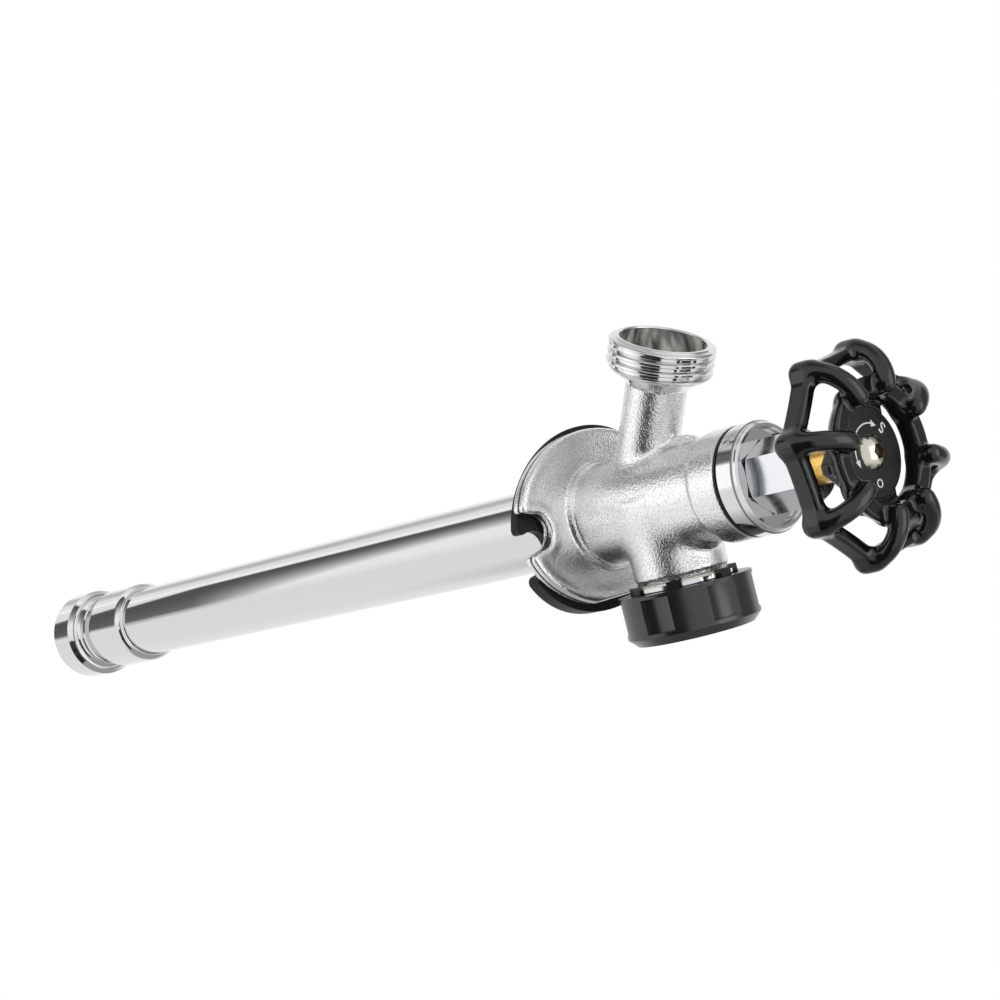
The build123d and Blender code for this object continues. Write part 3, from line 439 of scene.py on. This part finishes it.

# %% The bored inside of the nozzle: duller than its outside, with painted reflections as light and dark streaks along it
NOZZLE_LEAN = 28.7
STREAK, STREAK_EDGES, REFLECTION_DARK, REFLECTION_LIGHT = (2.5, 3.5, 40), (0.38, 0.62), "#5C6064", "#F2F0EA"


def reflection_streak_paint(tree, place):
    """Painted reflections: light and dark streaks along the nozzle's own axis."""
    lie = {"Rotation": (-math.radians(NOZZLE_LEAN), 0, 0), "Scale": tuple(grain_per(size) for size in STREAK)}
    upright = add(tree, "ShaderNodeMapping", {"Vector": place, **lie})
    streaks = add(tree, "ShaderNodeTexNoise", {"Vector": upright.outputs[0], "Scale": 1.0, "Detail": 1.5})
    share = ramp(tree, streaks.outputs[0], *STREAK_EDGES)
    # The bore's colour is painted reflection: pale and dark streaks
    return blend(tree, share, linear(REFLECTION_DARK), linear(REFLECTION_LIGHT))


finish["bored"] = new_material("dull_nickel_with_painted_reflections_in_bore", "#A6A8A9", 0.75, 0.25, reflection_streak_paint)[0]
print(finish["bored"].name)

# %% [markdown]
# The body is cast brass, blasted and nickel plated, then left as cast on the outside: bright, with a grain
# of about half a millimetre that sparkles. Two textures make the grain, a noise and the soft cells of a
# Voronoi texture. They tilt the surface, and the noise also darkens the pits with painted shade. A
# thin dark line at one height, at y = -5.1 mm, is the joint of the mould on the edge of the flange, and
# another at y = -56 mm is a painted shadow in the joint between the body and its gasket.

# %% Nickel on blasted casting, with painted shade in its pits, the joint of the mould and a painted shadow at the gasket
GRAIN, PIT, PIT_SHARE = 0.42, 0.9, 2.6
GRAIN_STRENGTH, GRAIN_DEPTH, GRAIN_ROUGHNESS = 0.6, 0.085, (0.12, 0.08)
PIT_EDGES, PIT_SHADE_TONE, HIGH_TONE, JOINT_AND_SHADOW_TONE = (0.36, 0.50), "#D2D3D4", "#ECEDED", "#3A3A39"
MOULD_Y, MOULD_DARK, MOULD_SOFT = -5.1, 0.15, 0.40
# The body's end next to the gasket gets a painted shadow. The same dark tone also marks the real joint of the
# mould
GASKET_SHADOW_Y, GASKET_SHADOW_FADE_Y = -56.05, -55.8

cast_nickel, tree, shader, place = new_material("satin_nickel_on_blasted_casting", "#DCDBD7", 1.0, 0.3)
grain_look = {"Vector": place, "Scale": grain_per(GRAIN), "Detail": 3.0, "Roughness": 0.5}
grain = add(tree, "ShaderNodeTexNoise", grain_look).outputs[0]
pits = add(tree, "ShaderNodeTexVoronoi", {"Vector": place, "Scale": grain_per(PIT)}, feature="SMOOTH_F1")
height = maths(tree, "MULTIPLY_ADD", grain, PIT_SHARE, pits.outputs["Distance"])
worked_skin(tree, shader, grain, *GRAIN_ROUGHNESS, GRAIN_STRENGTH, GRAIN_DEPTH, height)
# Painted shade: where the grain's noise is low, in its pits, the nickel is darker
tone = blend(tree, ramp(tree, grain, *PIT_EDGES), linear(PIT_SHADE_TONE), linear(HIGH_TONE))
along = add(tree, "ShaderNodeSeparateXYZ", {0: place}).outputs["Y"]
off_mould = distance_off(tree, along, MOULD_Y * MM)
on_mould = ramp(tree, off_mould, MOULD_DARK * MM, MOULD_SOFT * MM, 1.0, 0.0)
# Painted shadow: the body is dark below y = -56.05 mm, where it meets its gasket
gasket_shadow = ramp(tree, along, GASKET_SHADOW_Y * MM, GASKET_SHADOW_FADE_Y * MM, 1.0, 0.0)
tone = blend(tree, maths(tree, "MAXIMUM", on_mould, gasket_shadow), tone, linear(JOINT_AND_SHADOW_TONE))
tree.links.new(tone, shader.inputs["Base Color"])
finish["cast"] = cast_nickel
print(cast_nickel.name)

# %% [markdown]
# The stem is bare brass, gone a little golden. The drive in the handle screw's domed head gets painted shade:
# what lies below the dome's sphere is painted a dark brown. Inside are rubber, plastic and steel pieces that
# hardly show. They still get the finish that the real ones have.

# %% The other finishes
# The dark brown is painted shade in the screw's drive, below the dome's sphere
NICKEL, DRIVE_SHADE = "#CFC9BD", "#6B6158"
DOME_RADIUS, DOME_CENTRE = 5.359, (0, -89.341 * MM, 0)
DRIVE_SHADE_FROM, DRIVE_SHADE_TO = 0.4, 0.1


def plain_finish(name, base, metallic, roughness, size_mm, strength, spread=0.06, paint=None, shine=0.5):
    """A material with fine relief of size_mm and a roughness that varies by spread either way."""
    material, tree, shader, place = new_material(name, base, metallic, roughness, paint, shine)
    noise = add(tree, "ShaderNodeTexNoise", {"Vector": place, "Scale": grain_per(size_mm), "Detail": 3.0})
    worked_skin(tree, shader, noise.outputs[0], roughness - spread, roughness + spread, strength, 0.05)
    return material


def drive_shade_paint(tree, place):
    """Nickel on the dome's sphere and painted shade, a dark brown, below it in the drive, by the distance
    from the sphere's centre.
    """
    off_centre = gap(tree, place, DOME_CENTRE)
    unshaded = ramp(tree, off_centre, (DOME_RADIUS - DRIVE_SHADE_FROM) * MM, (DOME_RADIUS - DRIVE_SHADE_TO) * MM)
    return blend(tree, unshaded, linear(DRIVE_SHADE), linear(NICKEL))


finish |= {
    "turned_brass": plain_finish("golden_turned_brass", "#E9BE6C", 1.0, 0.28, 0.5, 0.35, 0.1),
    "plated_steel": plain_finish("nickel_plated_steel", NICKEL, 1.0, 0.2, 1.0, 0.08),
    "dome_screw": plain_finish("nickel_plated_dome_screw_with_painted_drive_shade", NICKEL, 1.0, 0.2, 1.0, 0.08, paint=drive_shade_paint),
    "abs_black": plain_finish("satin_black_moulded_abs", "#0E0E0F", 0.0, 0.24, 6.0, 0.03, 0.04, shine=0.8),
    "wedge_black": plain_finish("matt_black_polypropylene", "#0E0E0F", 0.0, 0.5, 0.6, 0.15, shine=0.3),
    "enamel": plain_finish("dipped_black_enamel", "#070708", 0.0, 0.16, 3.0, 0.12, 0.04, shine=0.6),
    "plate": plain_finish("black_anodised_aluminium", "#0D0D0E", 0.0, 0.4, 0.5, 0.08),
    "rubber": plain_finish("black_nitrile_rubber", "#141414", 0.0, 0.6, 0.5, 0.1),
    "fibre": plain_finish("dark_fibre_gasket", "#1C1A18", 0.0, 0.75, 0.3, 0.3),
    "nylon": plain_finish("pale_nylon_washer", "#B9B7B0", 0.0, 0.45, 0.5, 0.1),
    "acetal": plain_finish("natural_acetal", "#E6E2D6", 0.0, 0.4, 0.8, 0.05),
    "graphite": plain_finish("graphite_packing", "#2B2B2D", 0.3, 0.5, 0.5, 0.3),
    "ink": plain_finish("white_pad_printing_ink", "#D8D8D4", 0.0, 0.45, 0.3, 0.05),
}
print(len(finish), "finishes")

# %% Every CAD node gets its finish
worn_by = {
    "drawn": ["supply_tube"],
    "turned": ["inlet_fitting", "breaker_insert"],
    "stepped": ["bonnet"],
    "milled": ["packing_nut"],
    "cast": ["body_casting"],
    "turned_brass": ["stem_screw", "stem_rod", "washer_holder", "packing_washer"],
    "dome_screw": ["handle_screw"],
    "plated_steel": ["washer_screw", "stem_pin", "holder_clip"],
    "abs_black": ["breaker_cap"],
    "wedge_black": ["wall_wedge"],
    "enamel": ["handwheel"],
    "plate": ["index_plate"],
    "rubber": ["stem_o_ring", "insert_o_ring", "seat_washer", "poppet_seal"],
    "nylon": ["insert_gasket"],
    "fibre": ["bonnet_gasket"],
    "acetal": ["breaker_poppet", "poppet_seat", "stem_guide"],
    "graphite": ["stem_packing"],
}
for kind, names in worn_by.items():
    for name in names:
        node[name].data.materials.clear()
        node[name].data.materials.append(finish[kind])
print(sum(len(names) for names in worn_by.values()), "of", len(node), "nodes have their finish")

# %% [markdown]
# ## The handwheel
#
# The real wheel is a casting dipped in thick black enamel. Where the ribs run into the rim, the metal flows
# together in a soft fillet, and the enamel makes it softer still. Swept tubes can't do that, so the wheel
# is made as a distance field: every part of the wheel is a formula for how far a point is from its skin,
# and a smooth minimum of two distances melts two parts into one another. OpenVDB then draws the skin where
# the field is zero.

# %% Helpers: distance fields


def melt(a, b, k):
    """Smooth minimum of two distances: they blend over a width of k, with a fillet of about that size."""
    h = np.clip(0.5 + 0.5 * (b - a) / k, 0, 1)
    return b + (a - b) * h - k * h * (1 - h)


def carve(a, b, k):
    """Smooth maximum, the reverse of melt: what is inside both."""
    return -melt(-a, -b, k)


def slab(value, low, high):
    """Distance to the layer between low and high."""
    return np.maximum(low - value, value - high)


def rounded(u, v, r):
    """Two distances at right angles joined with an outer edge of radius r, as on a box with rounded edges."""
    u, v = u + r, v + r
    return np.minimum(np.maximum(u, v), 0) + np.hypot(np.maximum(u, 0), np.maximum(v, 0)) - r


def segment(px, py, a, b):
    """Distance in a plane to the straight run from a to b."""
    dx, dy = b[0] - a[0], b[1] - a[1]
    t = np.clip(((px - a[0]) * dx + (py - a[1]) * dy) / (dx * dx + dy * dy), 0, 1)
    return np.hypot(px - a[0] - t * dx, py - a[1] - t * dy)


def ellipsoid(*axes):
    """Distance, good near the skin, to an ellipse or ellipsoid. An axis is an offset and a half length."""
    scaled = np.sqrt(sum((off / half) ** 2 for off, half in axes))
    steepness = np.sqrt(sum((off / half**2) ** 2 for off, half in axes)) + 1e-9
    return scaled * (scaled - 1) / steepness


def smoothstep(t):
    """0 to 1 as t goes from 0 to 1, level at both ends."""
    t = np.clip(t, 0, 1)
    return t**2 * (3 - 2 * t)


def skin(name, values, origin, step):
    """The surface where the field is zero, in metres, as a smooth-shaded mesh from OpenVDB."""
    grid = openvdb.FloatGrid(4.0)
    grid.copyFromArray(np.ascontiguousarray(np.clip(values, -4, 4), dtype=np.float32))
    points, triangles, quads = grid.convertToPolygons(0.0, 0.0)
    points = (np.asarray(points) * step + np.asarray(origin)) * MM
    faces = np.vstack([quads, np.hstack([triangles, triangles[:, :1]])]) if len(triangles) else quads
    return sheet_mesh(name, points, faces[:, ::-1].tolist(), smooth=True)


# %% The wheel's sizes in mm, the same as in the CAD, and the points of its field
WHEEL_TURN, LOBES, VOXEL = -14.0, 8, 0.34
TIP, DIP, TIP_ROUND, RIM_WALL, RIM_ROUND = 26.4, 23.9, 2.2, 3.3, 1.0
RIM_BACK, RIM_FRONT = -86.25, -91.45
RIB, BEND, RIB_FRONT, RIB_FOOT, RIB_HEAD = 2.3, 9.6, -97.95, 1.4, (15.0, -97.65)
RING = [(12.9, -91.45), (15.2, -91.45), (17.2, -94.45), (17.2, -96.15), (12.9, -96.15)]
RING_ROUND, RING_MIDDLE = 0.9, -94.0

x = np.arange(-28.2, 28.2, VOXEL)
y = np.arange(-101.4, -83.4, VOXEL)
X, Y, Z = np.meshgrid(x, y, x, indexing="ij", sparse=True)
R = np.hypot(X, Z)
A = np.arctan2(Z, X) - math.radians(WHEEL_TURN)
half = math.pi / LOBES
fold = (A + half) % (2 * half) - half
ahead, aside = R * np.cos(fold), R * np.sin(fold)
print("wheel's field:", R.size * y.size, "points, folded", LOBES, "times")

# %% The rim: each side of its outline is an arc through two tips and the dip between them
bow_centre = (TIP**2 - DIP**2) / (2 * (TIP * math.cos(half) - DIP))
bow = bow_centre - DIP


def side(sign):
    """Distance to the side of the outline that lies half a lobe to that hand of the folded tip."""
    cx, cz = bow_centre * math.cos(half), sign * bow_centre * math.sin(half)
    return bow - np.hypot(ahead - cx, aside - cz)


outline = carve(side(1), side(-1), TIP_ROUND)
wall = np.maximum(outline, -outline - RIM_WALL)
rim = rounded(wall, slab(Y, RIM_FRONT, RIM_BACK), RIM_ROUND)
print("rim of", LOBES, "arcs of", round(bow, 1), "mm")

# %% The ribs: up from the rim, round a bend and inwards to the ring
FAR = 99.0
root = TIP - RIM_WALL / 2
bend_at = (root - BEND, RIB_FRONT + BEND)
ring_of_bend = np.abs(np.hypot(ahead - bend_at[0], Y - bend_at[1]) - BEND)
in_bend = (ahead >= bend_at[0]) & (Y <= bend_at[1])
path = np.where(in_bend, ring_of_bend, FAR)
path = np.minimum(path, segment(ahead, Y, (root, RIM_BACK - RIB_FOOT), (root, bend_at[1])))
path = np.minimum(path, segment(ahead, Y, (bend_at[0], RIB_FRONT), RIB_HEAD))
path = np.minimum(path, segment(ahead, Y, RIB_HEAD, (RIB_HEAD[0], RING_MIDDLE)))
ribs = np.hypot(path, aside) - RIB
print("ribs of", 2 * RIB, "mm")

# %% The front ring: its section is a convex outline, so its distance is the largest over its sides
ring = np.full(np.broadcast(R, Y).shape, -FAR)
for (r0, y0), (r1, y1) in zip(RING, RING[1:] + RING[:1]):
    length = math.hypot(r1 - r0, y1 - y0)
    out = ((y0 - y1) / length, (r1 - r0) / length)
    ring = carve(ring, (R - r0) * out[0] + (Y - y0) * out[1], RING_ROUND)
print("ring with", len(RING), "sides")

# %% Hub, disc, webs and the one spoke that shows beside the plate
HUB_REAR, HUB_FRONT, HUB_REAR_RADIUS, HUB_FRONT_RADIUS = -84.45, -91.6, 6.6, 8.0
DISC, DISC_THICK = 11.4, 2.2
WEB_TURN, WEB_WIDTH, WEB_REACH, WEB_BACK, WEB_THICK = 84.0, 13.0, 14.0, -89.8, 2.8
SPOKE_TURN, SPOKE_REACH, SPOKE_TIP, SPOKE_FRONT, SPOKE_BACK = 95.0, 15.2, 1.2, -91.4, -88.4
FLARE, FLARE_FROM, FLARE_LENGTH = 0.9, 15.0, 6.0
HUB_ROUND, DISC_ROUND, WEB_ROUND, SPOKE_ROUND = 0.5, 0.7, 0.8, 0.7
PLATE, STEM_SIDE = 10.65, 6.6


def turned_axes(degrees):
    """X and Z turned about the wheel's axis."""
    c, s = math.cos(math.radians(degrees)), math.sin(math.radians(degrees))
    return X * c + Z * s, Z * c - X * s


hub_taper = (HUB_FRONT_RADIUS - HUB_REAR_RADIUS) / (HUB_REAR - HUB_FRONT)
hub_radius = HUB_REAR_RADIUS + (HUB_REAR - Y) * hub_taper
hub = carve(R - hub_radius, slab(Y, HUB_FRONT, HUB_REAR), HUB_ROUND)
disc = rounded(R - DISC, slab(Y, HUB_FRONT, HUB_FRONT + DISC_THICK), DISC_ROUND)
web_x, web_z = turned_axes(WEB_TURN)
web_side = np.maximum(np.abs(web_z) - WEB_WIDTH / 2, np.abs(web_x) - WEB_REACH)
webs = rounded(web_side, slab(Y, WEB_BACK - WEB_THICK, WEB_BACK), WEB_ROUND)
spoke_x, spoke_z = turned_axes(SPOKE_TURN)
spoke_half = SPOKE_TIP + FLARE * np.clip(FLARE_FROM - np.abs(spoke_z), 0, FLARE_LENGTH)
spoke_side = np.maximum(np.abs(spoke_x) - spoke_half, slab(spoke_z, -SPOKE_REACH, 0))
spoke = rounded(spoke_side, slab(Y, SPOKE_FRONT, SPOKE_BACK), SPOKE_ROUND)
print("hub, disc, webs and a spoke at", SPOKE_TURN, "degrees")

# %% The whole wheel: what touches is melted together, then the plate's seat and the stem's square are cut out
RIB_MELT, RING_MELT, DISC_MELT, WEB_MELT, SPOKE_MELT, MIDDLE_MELT = 2.6, 1.6, 1.2, 1.2, 1.8, 1.0
middle = melt(melt(melt(hub, disc, DISC_MELT), webs, WEB_MELT), spoke, SPOKE_MELT)
field = melt(melt(melt(rim, ribs, RIB_MELT), ring, RING_MELT), middle, MIDDLE_MELT)
plate_seat = np.maximum(R - PLATE, Y - HUB_FRONT)
square = np.maximum(np.maximum(np.abs(X), np.abs(Z)) - STEM_SIDE / 2, HUB_FRONT - 1 - Y)
field = np.maximum(np.maximum(field, -plate_seat), -square)
wheel = skin("enamelled_wheel", field, (x[0], y[0], x[0]), VOXEL)
wheel.data.materials.append(finish["enamel"])
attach(wheel, "handle_and_stem")
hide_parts("handwheel")
print("wheel:", len(wheel.data.polygons), "faces")

# %% [markdown]
# ## The cast body
#
# The body is one sand casting: an oval wall flange in two rounded halves with the parting line between
# them, a barrel, the branch for the vacuum breaker and the neck of the nozzle. On a casting nothing meets
# at a sharp corner, so the body is a distance field like the wheel's, with wider fillets. The bores are cut
# out of it, so that the tube, the bonnet and the breaker sit in real holes.

# %% The body's sizes in mm, the same as in the CAD, and the points of its field
BODY_VOXEL = 0.43
FLANGE_W, FLANGE_H, FLANGE_BACK, FLANGE_FRONT = 60.0, 45.6, -3.0, -7.2
SLOT_AT, SLOT, SLOT_END, SLOT_LENGTH = 25.0, 4.6, 6.4, 7.0
SLOT_ROUND, FRONT_ROUND, BACK_ROUND, PARTING_MELT, FRONT_OVER, BACK_OVER = 1.6, 0.85, 0.7, 0.35, 0.1, 0.15
DISH_DEPTH, DISH_FROM, DISH_SLOPE = 0.55, 1.3, 2.2
BOSS, BOSS_PROUD, BOSS_ROUND, BARREL, BODY_FRONT = 13.9, 0.9, 0.6, 12.9, -56.2
COLLAR, COLLAR_BACK, COLLAR_ROUND = 13.8, -47.6, 0.45
BRANCH_Y, BRANCH, BRANCH_TOP, STEP_IN, STEP_HIGH, STEP_MELT = -27.45, 12.0, 19.6, 0.5, 1.3, 0.3
NECK, NECK_LENGTH, LEAN, FOOT_Y = 7.75, 33.8, math.radians(NOZZLE_LEAN), -18.7
WEB_AT, WEB_HALF = (0, -38.6, -12.9), (1.9, 4.4, 1.9)
PASSAGE = 5.2

bx = np.arange(-31.3, 31.4, BODY_VOXEL)
by = np.arange(-58.0, -1.6, BODY_VOXEL)
bz = np.arange(-35.2, 21.2, BODY_VOXEL)
X, Y, Z = np.meshgrid(bx, by, bz, indexing="ij", sparse=True)
R = np.hypot(X, Z)
print("body's field:", bx.size * by.size * bz.size, "points")

# %% The flange: an oval with two slots, a bead round its edge and a shallow dish inside the bead
oval = ellipsoid((X, FLANGE_W / 2), (Z, FLANGE_H / 2))
past_slot = np.abs(X) - SLOT_AT
half_slot = SLOT + past_slot * (SLOT_END - SLOT) / SLOT_LENGTH
slot = np.where(past_slot < 0, np.hypot(past_slot, Z) - SLOT, np.abs(Z) - half_slot)
edge = carve(oval, -slot, SLOT_ROUND)
dish = DISH_DEPTH * smoothstep((-edge - DISH_FROM) / DISH_SLOPE)
front_half = rounded(edge, slab(Y, FLANGE_FRONT + dish, MOULD_Y + FRONT_OVER), FRONT_ROUND)
back_half = rounded(edge, slab(Y, MOULD_Y - BACK_OVER, FLANGE_BACK), BACK_ROUND)
flange = melt(front_half, back_half, PARTING_MELT)
print("flange", FLANGE_W, "by", FLANGE_H, "mm")

# %% Boss, barrel, collar, branch, neck and the small web between nozzle and barrel
boss = rounded(R - BOSS, slab(Y, FLANGE_FRONT - BOSS_PROUD, MOULD_Y), BOSS_ROUND)
barrel = np.maximum(R - BARREL, slab(Y, BODY_FRONT, MOULD_Y))
collar = rounded(R - COLLAR, slab(Y, BODY_FRONT - 1, COLLAR_BACK), COLLAR_ROUND)
collar = np.maximum(collar, BODY_FRONT - Y)
from_branch = np.hypot(X, Y - BRANCH_Y)
wide_part = np.maximum(from_branch - BRANCH, slab(Z, 0, BRANCH_TOP - STEP_HIGH))
narrow_part = np.maximum(from_branch - BRANCH + STEP_IN, slab(Z, 0, BRANCH_TOP))
branch = melt(wide_part, narrow_part, STEP_MELT)
down = -Z * math.cos(LEAN) - (Y - FOOT_Y) * math.sin(LEAN)
from_neck = np.hypot(X, -Z * math.sin(LEAN) + (Y - FOOT_Y) * math.cos(LEAN))
neck = np.maximum(from_neck - NECK, slab(down, 0, NECK_LENGTH))
web = ellipsoid(*((axis - at, half) for axis, at, half in zip((X, Y, Z), WEB_AT, WEB_HALF)))
print("barrel", 2 * BARREL, "mm, neck", 2 * NECK, "mm")

# %% The casting: the parts melted together, the bores cut out, and the voxels' steps smoothed away
# Each part with the width over which it melts into those before it
melted_in = ((boss, 0.6), (barrel, 0.9), (branch, 3.4), (neck, 3.0), (collar, 1.4), (web, 1.6))
casting = flange
for part, width in melted_in:
    casting = melt(casting, part, width)
# Each bore with the distance from its axis, its radius, the place along its axis, and its two ends there
bores = {
    "tube": (R, 11.15, Y, -17.0, 9.0),
    "barrel": (R, 9.4, Y, -47.0, -16.9),
    "bonnet": (R, 11.06, Y, -70.0, -46.9),
    "branch": (from_branch, 9.2, Z, 0.0, 30.0),
    "nozzle": (from_neck, PASSAGE, down, 0.0, 50.0),
}
for off_axis, radius, along, start, end in bores.values():
    casting = np.maximum(casting, -np.maximum(off_axis - radius, slab(along, start, end)))
body = skin("cast_body", casting, (bx[0], by[0], bz[0]), BODY_VOXEL)
smoothed = body.modifiers.new("smoothed", "SMOOTH")
smoothed.factor, smoothed.iterations = 0.5, 5
body.data.materials.append(finish["cast"])
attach(body, "valve_body")
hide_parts("body_casting")
print("body:", len(body.data.polygons), "faces and", len(bores), "bores")

# %% [markdown]
# ## The threaded end of the nozzle
#
# A 3/4 inch garden hose thread has a pitch of 2.209 mm. It is one surface of two parameters, the angle and
# the place along a closed profile. Where the profile runs over the thread, its radius follows a wave whose
# phase also turns with the angle, and that makes a helix. The wave grows out of the flare, and at the other
# end it runs into the plain band of the lip. Past the lip the profile turns back inside, down the bore, to
# where it began.

# %% The nozzle's profile: pairs of a radius and a place along the nozzle's axis, in mm
SIDES, THREAD_POINTS, MOUTH = 240, 78, 10.9
THREAD_FROM, THREAD_TO, FADE, LIP_BAND, LIP_FADE = 36.2, 42.95, 0.7, 1.3, 0.5
PITCH, CREST, DEPTH, WAVE_ZERO, CREST_LEVEL, CREST_GAIN = 2.209, 13.4, 1.1, 36.25, 0.42, 0.9
FLARE_PROFILE = [
    *((6.4, 32.2), (7.6, 32.2), (7.85, 32.6), (8.2, 33.1), (8.9, 33.7), (10.1, 34.6), (11.3, 35.4)),
    *((12.1, 35.85), (12.3, 36.05)),
]
LIP_PROFILE = [
    *((13.42, 43.0), (13.42, 43.3), (13.38, 43.45), (13.25, 43.58), (13.0, 43.72), (12.7, 43.85)),
    *((12.5, 43.88), (12.36, 43.84), (12.26, 43.9), (12.15, 44.08), (11.98, 44.24), (11.7, 44.36)),
    *((11.3, 44.38), (11.06, 44.3), (10.94, 44.16), (MOUTH, 44.05)),
]
BORE_PROFILE = [
    *((MOUTH, 43.9), (MOUTH, 43.4), (MOUTH, 41.0), (MOUTH, 37.0), (MOUTH, 36.2), (10.8, 35.85), (10.5, 35.6)),
    *((9.8, 35.5), (6.3, 34.8), (5.5, 34.4), (PASSAGE, 33.8), (PASSAGE, 32.2)),
]
turns = np.linspace(0, 2 * math.pi, SIDES + 1)[:-1][:, None]
s_thread = np.linspace(THREAD_FROM, THREAD_TO, THREAD_POINTS)
wave = np.cos(2 * math.pi * (s_thread - WAVE_ZERO) / PITCH - turns)
crest = smoothstep(CREST_LEVEL + CREST_GAIN * wave)
grown = np.clip((s_thread - THREAD_FROM) / FADE, 0, 1)
into_lip = np.clip((s_thread - THREAD_TO + LIP_BAND) / LIP_FADE, 0, 1)
r_thread = CREST - DEPTH * (1 - np.maximum(crest * grown, into_lip))
print("thread of", round((THREAD_TO - LIP_BAND - THREAD_FROM) / PITCH, 1), "turns")

# %% The surface through the profile, and its two finishes
flare_r, flare_s = np.array(FLARE_PROFILE).T
end_r, end_s = np.array(LIP_PROFILE + BORE_PROFILE).T
r_all = np.hstack([np.tile(flare_r, (SIDES, 1)), r_thread, np.tile(end_r, (SIDES, 1))])
s_all = np.concatenate([flare_s, s_thread, end_s])
side_way, out_way = np.array([1.0, 0, 0]), np.array([0, -math.sin(LEAN), -math.cos(LEAN)])
third_way = np.cross(out_way, side_way)
nozzle_points = (
    np.array([0, FOOT_Y, 0])
    + s_all[:, None] * out_way
    + (r_all * np.cos(turns))[..., None] * side_way
    + (r_all * np.sin(turns))[..., None] * third_way
) * MM
# Each face's corners are taken the other way round, so that it looks outwards
nozzle_faces = [[first, *others[::-1]] for first, *others in grid_faces(SIDES, s_all.size, True, True)]
nozzle_end = sheet_mesh("threaded_nozzle_end", nozzle_points.reshape(-1, 3), nozzle_faces, smooth=True)
nozzle_end.data.materials.append(finish["nozzle"])
nozzle_end.data.materials.append(finish["bored"])
in_bore = np.arange(s_all.size) >= s_all.size - len(BORE_PROFILE)
nozzle_end.data.polygons.foreach_set("material_index", np.tile(in_bore, SIDES).astype(np.int32))
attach(nozzle_end, "valve_body")
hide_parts("body_casting")
print("thread:", len(nozzle_end.data.polygons), "faces")

# %% [markdown]
# ## The index plate
#
# The plate says which way to turn: an arrow to S for shut and one to O for open. The letters are text
# turned into a mesh, and the arrows are strips along an arc, 0.05 mm proud of the plate, in white paint.

# %% Letters and arrows on the plate: places in mm, angles in degrees counted from +X to +Z
PLATE_FRONT, MARK_HEIGHT, MARK_THICK = -92.4, 0.05, 0.04
ARROW_WIDTH, ARROW_HEAD, ARROW_HALF_HEAD, ARROW_POINTS = 0.36, 1.9, 0.85, 24
CAPITAL, LETTER_WEIGHT = 0.72, 0.06


def on_plate(x_mm, z_mm):
    """Points of the marks' plane, in metres, just above the plate's face."""
    return np.stack(np.broadcast_arrays(x_mm, PLATE_FRONT - MARK_HEIGHT, z_mm), -1) * MM


def arrow(name, radius, start, end):
    """An arc from one angle to another, as a strip, with a triangle at its end."""
    a = np.radians(np.linspace(start, end, ARROW_POINTS))
    tip = a[-1] + math.copysign(ARROW_HEAD / radius, end - start)
    r = np.repeat((radius - ARROW_WIDTH / 2, radius + ARROW_WIDTH / 2), ARROW_POINTS)
    r = np.append(r, (radius - ARROW_HALF_HEAD, radius + ARROW_HALF_HEAD, radius))
    a = np.concatenate([a, a, (a[-1], a[-1], tip)])
    head = [[2 * ARROW_POINTS, 2 * ARROW_POINTS + 1, 2 * ARROW_POINTS + 2]]
    return sheet_mesh(name, on_plate(r * np.cos(a), r * np.sin(a)), grid_faces(2, ARROW_POINTS) + head)


def letter(name, text, x_mm, z_mm, up_degrees, height=2.9):
    """A letter as a mesh on the plate, its middle at the place given and its top towards the angle given."""
    curve = bpy.data.curves.new(name, "FONT")
    curve.body, curve.size, curve.offset = text, height * MM / CAPITAL, LETTER_WEIGHT * MM
    curve.align_x, curve.align_y = "CENTER", "CENTER"
    words = placed(name, curve)
    mesh = bpy.data.meshes.new_from_object(words)
    bpy.data.objects.remove(words)
    up = Vector((math.cos(math.radians(up_degrees)), 0, math.sin(math.radians(up_degrees))))
    out = Vector((0, -1, 0))
    centre = Vector((x_mm, PLATE_FRONT - MARK_HEIGHT, z_mm)) * MM
    mesh.transform(Matrix.Translation(centre) @ Matrix((up.cross(out), up, out)).transposed().to_4x4())
    return placed(name, mesh)


marks = [
    letter("letter_S", "S", -5.84, -5.06, 41),
    letter("letter_O", "O", 0.07, 7.4, 269, 2.1),
    arrow("arrow_to_S", 6.8, -46, -106),
    arrow("arrow_to_O", 6.4, -32, 10),
]
for mark in marks:
    thick = mark.modifiers.new("ink", "SOLIDIFY")
    thick.thickness, thick.offset = MARK_THICK * MM, 0
    mark.data.materials.clear()
    mark.data.materials.append(finish["ink"])
    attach(mark, "handle_and_stem")
print(len(marks), "marks on the plate")
